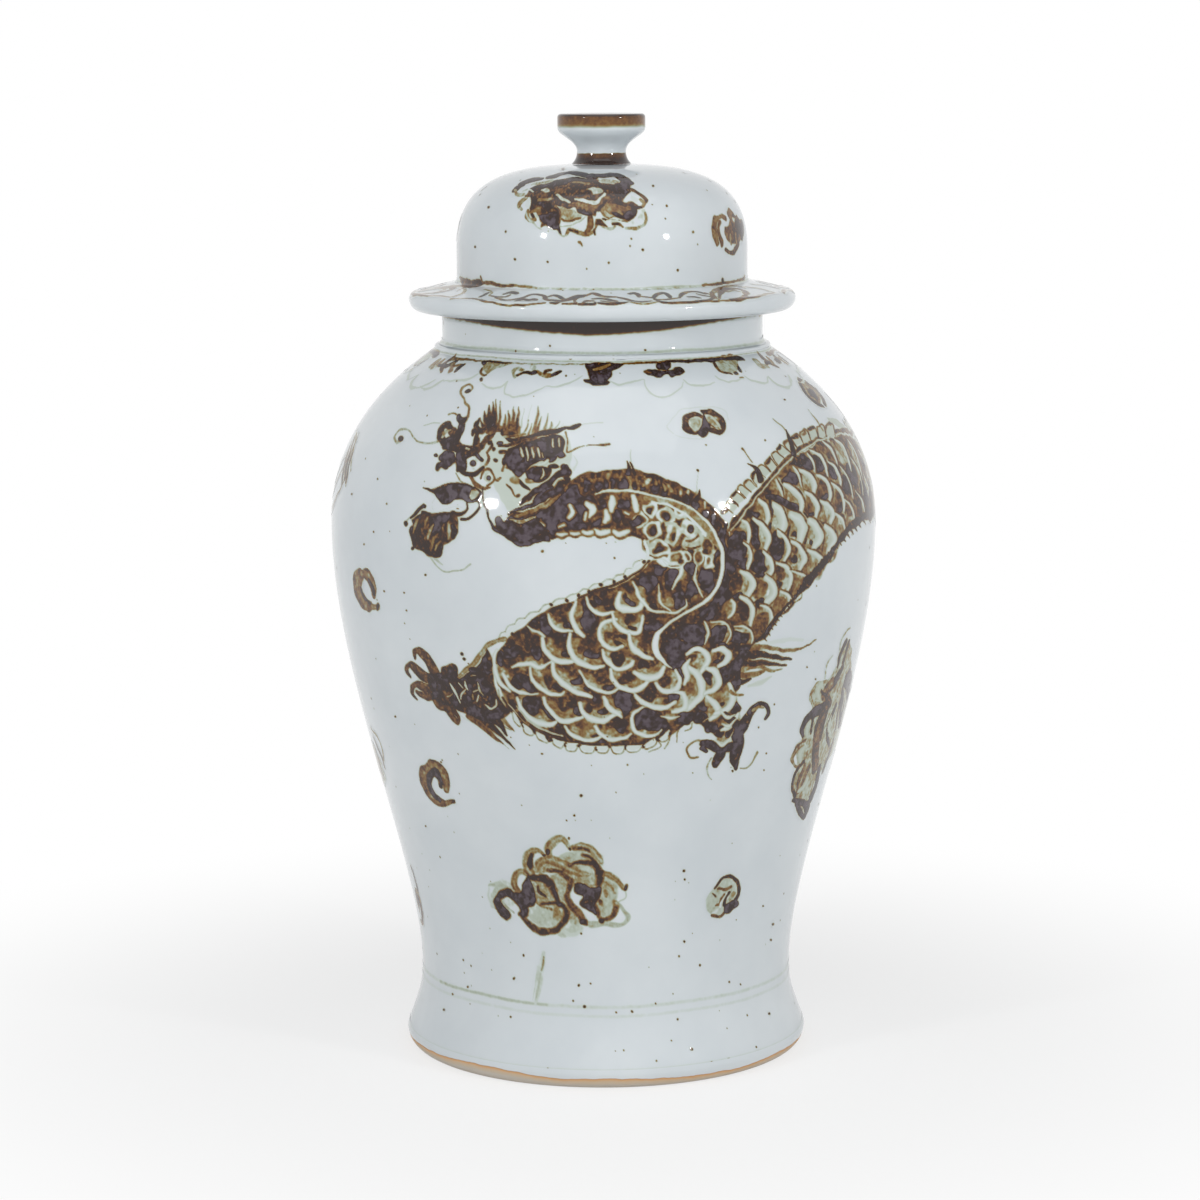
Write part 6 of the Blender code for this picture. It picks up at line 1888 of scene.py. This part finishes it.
def flowers(place):
    """Petals in honey, amber and brown about a dark middle, under a few heavy dabs of purple-grey."""
    filled(lid_wall, place,
           [(523, 195), (530, 188), (548, 182), (570, 178), (600, 180), (624, 182), (626, 192), (620, 200),
            (632, 205), (633, 214), (628, 221), (618, 220), (604, 217), (594, 212), (590, 216), (585, 214),
            (578, 214), (570, 208), (562, 208), (553, 204), (556, 214), (557, 226), (556, 232), (552, 229),
            (545, 226), (540, 227), (541, 222), (537, 222), (535, 215), (529, 208), (528, 200)],
           0.60, uneven=0.18, ragged=0.0009)
    for points, load, edge in (
        ([(550, 177, 5), (560, 174, 5), (570, 173, 5), (580, 175, 5), (590, 178, 4)], 0.92, 0.78),
        ([(589, 175, 4), (600, 176, 5), (612, 175, 5), (620, 179, 5), (627, 183, 4)], 0.92, 0.78),
        ([(520, 183, 4), (530, 180, 5), (538, 179, 3)], 0.88, 0.72),
        ([(513, 190, 4), (516, 187, 4), (520, 185, 3)], 0.92, 0.8),
        ([(530, 190, 5), (540, 186, 6), (550, 184, 6), (560, 182, 6), (570, 180, 6), (581, 181, 5)],
         0.86, 0.72),
        ([(572, 182, 2), (585, 183, 2)], 0.30, None),
        ([(530, 184, 2), (540, 183, 3), (548, 181, 3)], 0.15, None),
        ([(600, 181, 4), (610, 182, 5), (615, 183, 4)], 0.15, None),
        ([(512, 190, 3), (514, 194, 3), (520, 195, 3)], 0.20, None),
        ([(554, 195, 3), (560, 199, 3), (567, 202, 2)], 0.05, None),
        ([(573, 199, 3), (582, 201, 4), (592, 203, 4), (598, 199, 4), (602, 194, 3)], 0.05, None),
        ([(585, 190, 3), (592, 189, 3), (597, 191, 3)], 0.25, None),
        ([(521, 191, 2), (527, 190, 2), (531, 191, 2)], 0.05, None),
        ([(567, 205, 3), (577, 207, 4), (587, 208, 4), (596, 206, 4), (601, 200, 4), (606, 197, 3)],
         0.36, 0.54),
        ([(570, 203, 2), (580, 205, 3), (590, 206, 2)], 0.34, None),
        ([(537, 200, 3), (543, 200, 3), (547, 199, 3)], 0.28, None),
        ([(538, 203, 3), (543, 208, 3)], 0.9, None), ([(553, 222, 4), (556, 228, 3), (557, 234, 2)], 0.82, 0.7),
        ([(525, 197, 3), (519, 201, 3.5), (516, 206, 3.5), (519, 209, 3)], 0.24, 0.34),
        ([(523, 196, 2), (530, 196, 2)], 0.6, None),
        ([(526, 211, 3), (525, 216, 4), (528, 220, 4), (532, 219, 3)], 0.26, 0.42),
        ([(529, 211, 2.5), (530, 217, 2)], 0.7, None),
        ([(524, 212, 1.6), (527, 220, 2), (533, 226, 2), (539, 229, 1.4)], 0.10, None),
        ([(533, 214, 3), (534, 219, 3), (537, 222, 2)], 0.03, None),
        ([(586, 216, 4), (587, 222, 6), (586, 228, 6), (583, 232, 4)], 0.34, 0.6),
        ([(563, 235, 3), (566, 230, 4), (571, 231, 4), (577, 233, 4), (584, 234, 4), (590, 232, 3)],
         0.30, 0.40),
        ([(566, 230, 2), (574, 232, 2)], 0.75, None),
        ([(558, 226, 1.5), (566, 226, 1.5), (574, 223, 1.5), (580, 219, 1.5), (582, 217, 1.2)], 0.14, None),
        ([(556, 234, 1.5), (560, 237, 1.5), (564, 235, 1.5)], 0.14, None),
        ([(591, 230, 2.4), (592, 234, 1.8)], 0.7, None),
    ):
        brushed(lid_wall, place, points, load, edge, uneven=0.08)
    for x, y, across, down, load in ((622, 184, 6, 5, 1.0), (616, 190, 8, 5, 0.90), (592, 191, 8, 4, 0.08),
                                     (544, 191, 3, 2, 0.05), (579, 194, 10, 4.5, 0.46),
                                     (580, 194, 7, 2.6, 0.66), (535, 211, 5, 3, 0.3), (580, 212, 4, 2, 0.86),
                                     (548, 207, 5, 3, 0.84)):
        blot(lid_wall, place, x, y, across, down, load)
    filled(lid_wall, place,
           [(536, 215), (545, 213), (553, 213), (553, 219), (552, 223), (556, 228), (552, 229), (548, 227),
            (542, 224), (538, 220)],
           0.97, uneven=0.06)
    filled(lid_wall, place, [(524, 198), (523, 203), (524, 208), (528, 209), (529, 203), (528, 198)], 0.04)
    filled(lid_wall, place,
           [(552, 206), (560, 207), (568, 209), (573, 212), (579, 216), (577, 219), (570, 220), (562, 221),
            (558, 220), (557, 213)],
           0.22, uneven=0.08)
    filled(lid_wall, place,
           [(592, 219), (597, 220), (601, 223), (604, 227), (600, 227), (595, 225), (592, 230), (591, 224)],
           0.62)
    filled(lid_wall, place,
           [(597, 207), (603, 204), (612, 204), (620, 206), (622, 210), (617, 216), (610, 218), (602, 217),
            (597, 213)],
           0.34, uneven=0.12)
    filled(lid_wall, place, [(616, 206), (622, 205), (628, 207), (625, 212), (620, 213)], 0.42, uneven=0.08)
    filled(lid_wall, place, [(628, 196), (636, 199), (633, 203), (628, 201)], 0.05)
    for points, load, edge in (
        ([(558, 219, 2), (563, 221, 2), (570, 220, 2), (577, 218, 2)], 0.5, None),
        ([(553, 205, 1.5), (557, 212, 1.5), (557, 219, 1.5)], 0.45, None),
        ([(602, 212, 3), (607, 216, 3), (611, 215, 2)], 0.14, None),
        ([(595, 211, 3), (597, 207, 3), (601, 205, 2)], 0.75, None),
        ([(600, 219, 2), (610, 221, 2), (620, 222, 2), (628, 219, 2), (632, 213, 1.6)], 0.7, None),
        ([(605, 221, 4), (615, 224, 6), (628, 225, 6), (637, 220, 6), (640, 212, 6), (638, 208, 4)],
         0.04, None),
        ([(622, 228, 2), (632, 228, 3), (640, 225, 3), (643, 219, 3), (642, 212, 2)], 0.18, 0.32),
        ([(610, 224, 2), (615, 224, 2.4), (619, 227, 2)], 0.6, None),
        ([(600, 227, 2.4), (608, 228, 2.4), (612, 226, 2)], 0.16, None),
        ([(624, 190, 2), (628, 190, 3), (633, 192, 3), (640, 197, 3), (643, 201, 3), (640, 206, 2)], 0.52, 0.7),
        ([(637, 199, 2), (641, 203, 3), (638, 207, 2)], 0.3, None),
        ([(629, 206, 3), (634, 208, 3), (638, 207, 2)], 0.8, None),
        ([(622, 205, 3), (628, 203, 3), (634, 206, 2)], 0.55, None),
    ):
        brushed(lid_wall, place, points, load, edge, uneven=0.06)
    for x, y, across, down, load in ((624, 215, 5, 5, 0.97), (631, 212, 3, 5, 0.85), (614, 216, 5, 3, 0.9),
                                     (579, 242, 1.4, 1.4, 0.8)):
        blot(lid_wall, place, x, y, across, down, load)


def small_flower(place):
    """A single bud: a honey petal curled round a dark one."""
    brushed(lid_wall, place,
            [(714, 243, 4), (712, 236, 5), (711, 226, 5), (713, 219, 5), (718, 216, 4), (722, 218, 3)],
            0.36, 0.50, uneven=0.08)
    brushed(lid_wall, place, [(717, 222, 3), (716, 232, 4), (718, 240, 4), (719, 245, 3)], 0.50)
    filled(lid_wall, place,
           [(721, 226), (726, 226), (727, 221), (725, 217), (724, 213), (727, 210), (730, 213), (732, 216),
            (736, 218), (740, 222), (741, 230), (740, 238), (736, 241), (733, 243), (728, 243), (724, 240),
            (721, 234)],
           0.54, uneven=0.16)
    brushed(lid_wall, place,
            [(723, 222, 2), (720, 223, 2.4), (718.5, 230, 2.6), (720, 237, 2.6), (723, 243, 2.6),
             (727, 248, 2.4), (731, 246, 2)],
            0.03)
    for x, y, across, down, load in ((733, 226, 4, 9, 0.64), (739, 230, 2, 10, 0.78),
                                     (730.5, 219, 1.2, 2.4, 0.04)):
        blot(lid_wall, place, x, y, across, down, load)
    brushed(lid_wall, place, [(727, 211, 3), (727, 215, 4)], 0.40)
    brushed(lid_wall, place, [(727, 235, 1.6), (728, 243, 1.6)], 0.30)
    brushed(lid_wall, place, [(732, 233, 1.4), (733, 241, 1.4)], 0.34)
    brushed(lid_wall, place,
            [(723, 250, 2.4), (726, 252, 3.4), (730, 252, 3.4), (733, 248, 3), (735, 243, 2.4)], 0.48, 0.7)


def scroll(place):
    """Leaves and tendrils in a thin grey-brown, end to end along the brim."""
    for points, load in (
        ([(448, 299, 1.2), (460, 298.5, 1.6), (472, 299, 1.6), (480, 301, 1.6), (490, 303, 1.6),
          (505, 305, 1.6), (520, 305, 1.6), (533, 304, 1.6), (542, 303, 1.2)],
         0.42),
        ([(478, 297, 2), (482, 295, 2), (485, 293, 1.4)], 0.7),
        ([(487, 296, 1.4), (495, 297, 1.8), (502, 297, 1.8), (507, 295, 1.2)], 0.55),
        ([(502, 294, 2), (507, 292.5, 3), (512, 293, 3), (513.5, 294, 2)], 0.66),
        ([(493, 298, 1.4), (500, 300, 1.8), (507, 300, 1.4)], 0.5),
        ([(507, 300, 1.6), (515, 299, 2), (522, 297, 2), (528, 295, 2), (534, 294.5, 2), (540, 296, 2),
          (543, 299, 2), (548, 301, 1.4)],
         0.5),
        ([(514, 301, 2), (520, 299.5, 3), (526, 300, 2)], 0.52),
        ([(526, 300.5, 2), (530, 299.5, 3), (533, 300, 2)], 0.62),
        ([(545, 297, 1.6), (551, 295.5, 2.4), (557, 297, 2.4), (560, 299, 2), (563, 299, 1.4)], 0.62),
        ([(548, 303, 1.6), (554, 303, 2), (558, 302, 1.6)], 0.6),
        ([(548, 300, 2), (556, 301, 3), (565, 300, 3), (570, 298, 3), (576, 296, 3), (582, 295, 2)], 0.58),
        ([(560, 304, 1.6), (568, 304, 2), (573, 304, 1.4)], 0.6),
        ([(573, 304, 1.4), (571, 301, 2), (575, 298, 2), (580, 297, 1.4)], 0.5),
        ([(576, 304, 2), (583, 304, 2.4), (591, 304, 2.4), (592, 302, 1.6)], 0.62),
        ([(580, 303, 1.4), (584, 301, 2), (590, 301, 1.4)], 0.5),
        ([(582, 296, 1.6), (590, 293.5, 2.4), (598, 296, 2.4), (606, 297, 2.4), (613, 297, 1.8)], 0.42),
        ([(590, 299, 1.6), (598, 298.5, 2.4), (607, 300, 2.4), (613, 301, 1.8)], 0.58),
        ([(596, 303, 1.8), (603, 304, 2.4), (612, 304, 2.4), (620, 303, 1.8)], 0.58),
        ([(598, 301, 1.4), (606, 302, 2), (612, 303, 1.4)], 0.5),
        ([(613, 297, 1.4), (622, 299, 2), (630, 301, 2), (640, 302, 2), (648, 301, 1.4)], 0.55),
        ([(612, 302, 1.4), (619, 303, 2), (625, 302, 1.4)], 0.6),
        ([(626, 302, 1.2), (636, 304, 1.6), (646, 304, 1.6), (655, 302, 1.2)], 0.25),
        ([(627, 294, 2), (631, 293, 2.6), (635, 295, 2.6), (636, 297, 2)], 0.55),
        ([(636, 296, 1.4), (644, 297, 2), (650, 298, 1.4)], 0.45),
        ([(650, 298, 1.6), (655, 294, 2.4), (661, 293, 2.4), (666, 296, 2.4), (667, 298, 1.6)], 0.6),
        ([(652, 299, 1.4), (658, 302, 2), (668, 303, 2), (680, 302.5, 2), (695, 301.5, 2), (706, 300, 2),
          (710, 297, 1.4)],
         0.55),
        ([(652, 300, 1.2), (664, 299.5, 1.6), (676, 298, 1.2)], 0.4),
        ([(676, 298, 1.4), (679, 294, 2.2), (686, 292, 2.2), (695, 292, 2.2), (702, 294, 1.6)], 0.5),
        ([(685, 297, 1.6), (692, 297, 2.2), (696, 298, 1.6)], 0.6),
        ([(694, 294, 1.2), (702, 296, 1.8), (708, 297, 1.2)], 0.5), ([(702, 293, 1.4), (705, 294, 1.4)], 0.4),
        ([(709, 299, 1.4), (708, 294, 2), (711, 291, 1.4)], 0.45),
        ([(713, 299, 1.6), (710, 295, 2.4), (713, 290, 2.4), (722, 287, 2.4), (733, 286, 2.4), (742, 288, 1.6)],
         0.35),
        ([(716, 300, 2), (717, 293, 3), (724, 289, 3), (734, 289, 3), (741, 291, 3), (743, 295, 3),
          (738, 299, 3), (728, 300, 2)],
         0.48),
        ([(724, 292, 1.2), (731, 290.5, 1.6), (737, 292, 1.2)], 0.3),
        ([(742, 287, 1.2), (752, 288, 2), (762, 290, 2), (772, 293, 1.2)], 0.3),
        ([(740, 298, 1.2), (752, 297, 1.8), (764, 294, 1.8), (772, 293, 1.2)], 0.35),
        ([(748, 284, 1), (760, 285, 1.4), (770, 287, 1)], 0.25),
        ([(700, 301, 1.2), (720, 301, 1.6), (740, 298.5, 1.6), (758, 296, 1.2)], 0.4),
    ):
        brushed(lid_wall, place, points, load, load + 0.08, uneven=0.12, ragged=0.0003)


flowers(lid_front)
flowers(round_by(lid_front, 176))
small_flower(lid_front)
small_flower(round_by(lid_front, 68))
small_flower(round_by(lid_front, 196))
for turn in (0, 122, 240):
    scroll(round_by(lid_front, turn))

# The line in the angle of dome and brim, heavy where the brush was set down at the left
ring(lid_wall, 0.4214, 0.0012, 0.12)
filled(lid_wall, lid_front,
       [(456, 278), (462, 278), (470, 280), (476, 279.5), (480, 281), (480, 285), (475, 287), (468, 288),
        (463, 287), (459, 284)],
       0.58, uneven=0.14)
for points, load in (
    ([(478, 277, 1.5), (479, 281, 1.5)], 0.5),
    ([(480, 283, 3), (490, 284, 3.5), (498, 285.5, 3.5), (505, 286, 3), (512, 286, 2.6)], 0.5),
    ([(512, 286, 2.6), (522, 287, 2.6), (535, 288, 2)], 0.30),
    ([(535, 288, 2), (560, 289, 2), (590, 289.5, 2.2), (620, 289.5, 2), (650, 289, 2), (680, 287.5, 2),
      (700, 286, 2)],
     0.10),
    ([(700, 286, 2), (710, 284, 2.6), (720, 283, 2.6), (730, 281, 2.6), (738, 279, 2), (742, 277, 1.4)], 0.5),
    ([(719, 279, 2), (720, 283, 2)], 0.7),
):
    brushed(lid_wall, lid_front, points, load, uneven=0.08)
for x, y, size, load in (
    (486, 207, 1.3, 0.5), (503, 232, 1.0, 0.7), (512, 259, 1.2, 0.6), (545, 262, 1.0, 0.5),
    (640, 250, 1.2, 0.7), (664, 206, 1.1, 0.6), (690, 232, 1.2, 0.5), (606, 263, 1.0, 0.6),
    (675, 270, 1.2, 0.6), (472, 247, 1.1, 0.6), (560, 169, 1.4, 0.6), (650, 186, 1.2, 0.6),
):
    blot(lid_wall, lid_front, x, y, size, size, load, soft=0.0006, ragged=0.0002)
for spot in lid_wall.rng.uniform((-math.pi, 0.03), (math.pi, 0.125), (60, 2)):
    size = lid_wall.rng.uniform(0.0004, 0.0010)
    lid_wall.stroke([(*spot, size), (spot[0], spot[1] + 0.0001, size)], 0.6, 0.45, soft=0.0006, ragged=0.0001)

fired(lid_wall)
haloed(lid_wall)
FLOWERS_FOOT = 0.4302
painted("lid_flowers", lid_wall, -180, 180, DOME_TOP, FLOWERS_FOOT, "lid")
painted("lid_brim_scroll", lid_wall, -180, 180, FLOWERS_FOOT, BRIM_TIP_HEIGHT, "lid")

# The knob: a button turned solid on its stem, stuck on with slip. Its rim and the foot of its stem are
# brushed with iron, which breaks to a rusty gold where the glaze runs thin over the edge.
KNOB_BASE, KNOB_TOP, KNOB_RADIUS, KNOB_WAIST_RADIUS = 0.4833, 0.510, 0.0237, 0.0132
knob_outline = np.concatenate([
    [(0, KNOB_TOP - 0.0008)],
    [(0.010, KNOB_TOP - 0.0006), (0.018, KNOB_TOP - 0.0002)],
    rounded((KNOB_RADIUS - 0.002, KNOB_TOP - 0.002), (0.002, 0.002), 90, 0, 9),
    drawn((KNOB_RADIUS, 0.5025), (KNOB_RADIUS, 0.49806), (KNOB_WAIST_RADIUS, 0.49615),
          (KNOB_WAIST_RADIUS, 0.4898), 30),
    drawn((KNOB_WAIST_RADIUS, 0.4898), (KNOB_WAIST_RADIUS, 0.48655), (0.01474, 0.4846),
          (KNOB_FOOT_RADIUS, KNOB_BASE), 14),
    [(KNOB_FOOT_RADIUS, KNOB_BASE), (0, KNOB_BASE)],
])
knob = turned("knob_glaze", knob_outline, 160)


def knob_bands(tree, place):
    """Two brushed bands: round the rim of the button, and round the foot of the stem."""
    level = wavering_height(tree, place, 90.0)
    along = node(tree, "ShaderNodeMapRange", {"Value": level}, From_Min=KNOB_BASE, From_Max=KNOB_TOP)
    return ramp(
        tree, along.outputs[0], (0.0, 0.55), (0.03, 0.70), (0.10, 0.66), (0.15, 0.52), (0.205, 0.50),
        (0.225, 0.0), (0.715, 0.0), (0.745, 0.13), (0.775, 0.30), (0.81, 0.42), (0.90, 0.44), (0.955, 0.48),
        (0.975, 0.70), (0.985, 0.70), (1.0, 0.50), colour=lambda load: (load, load, load, 1),
    )


knob.data.materials.append(glaze("iron_banded_glaze", knob_bands))
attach(knob, "lid")
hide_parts("lid_knob")
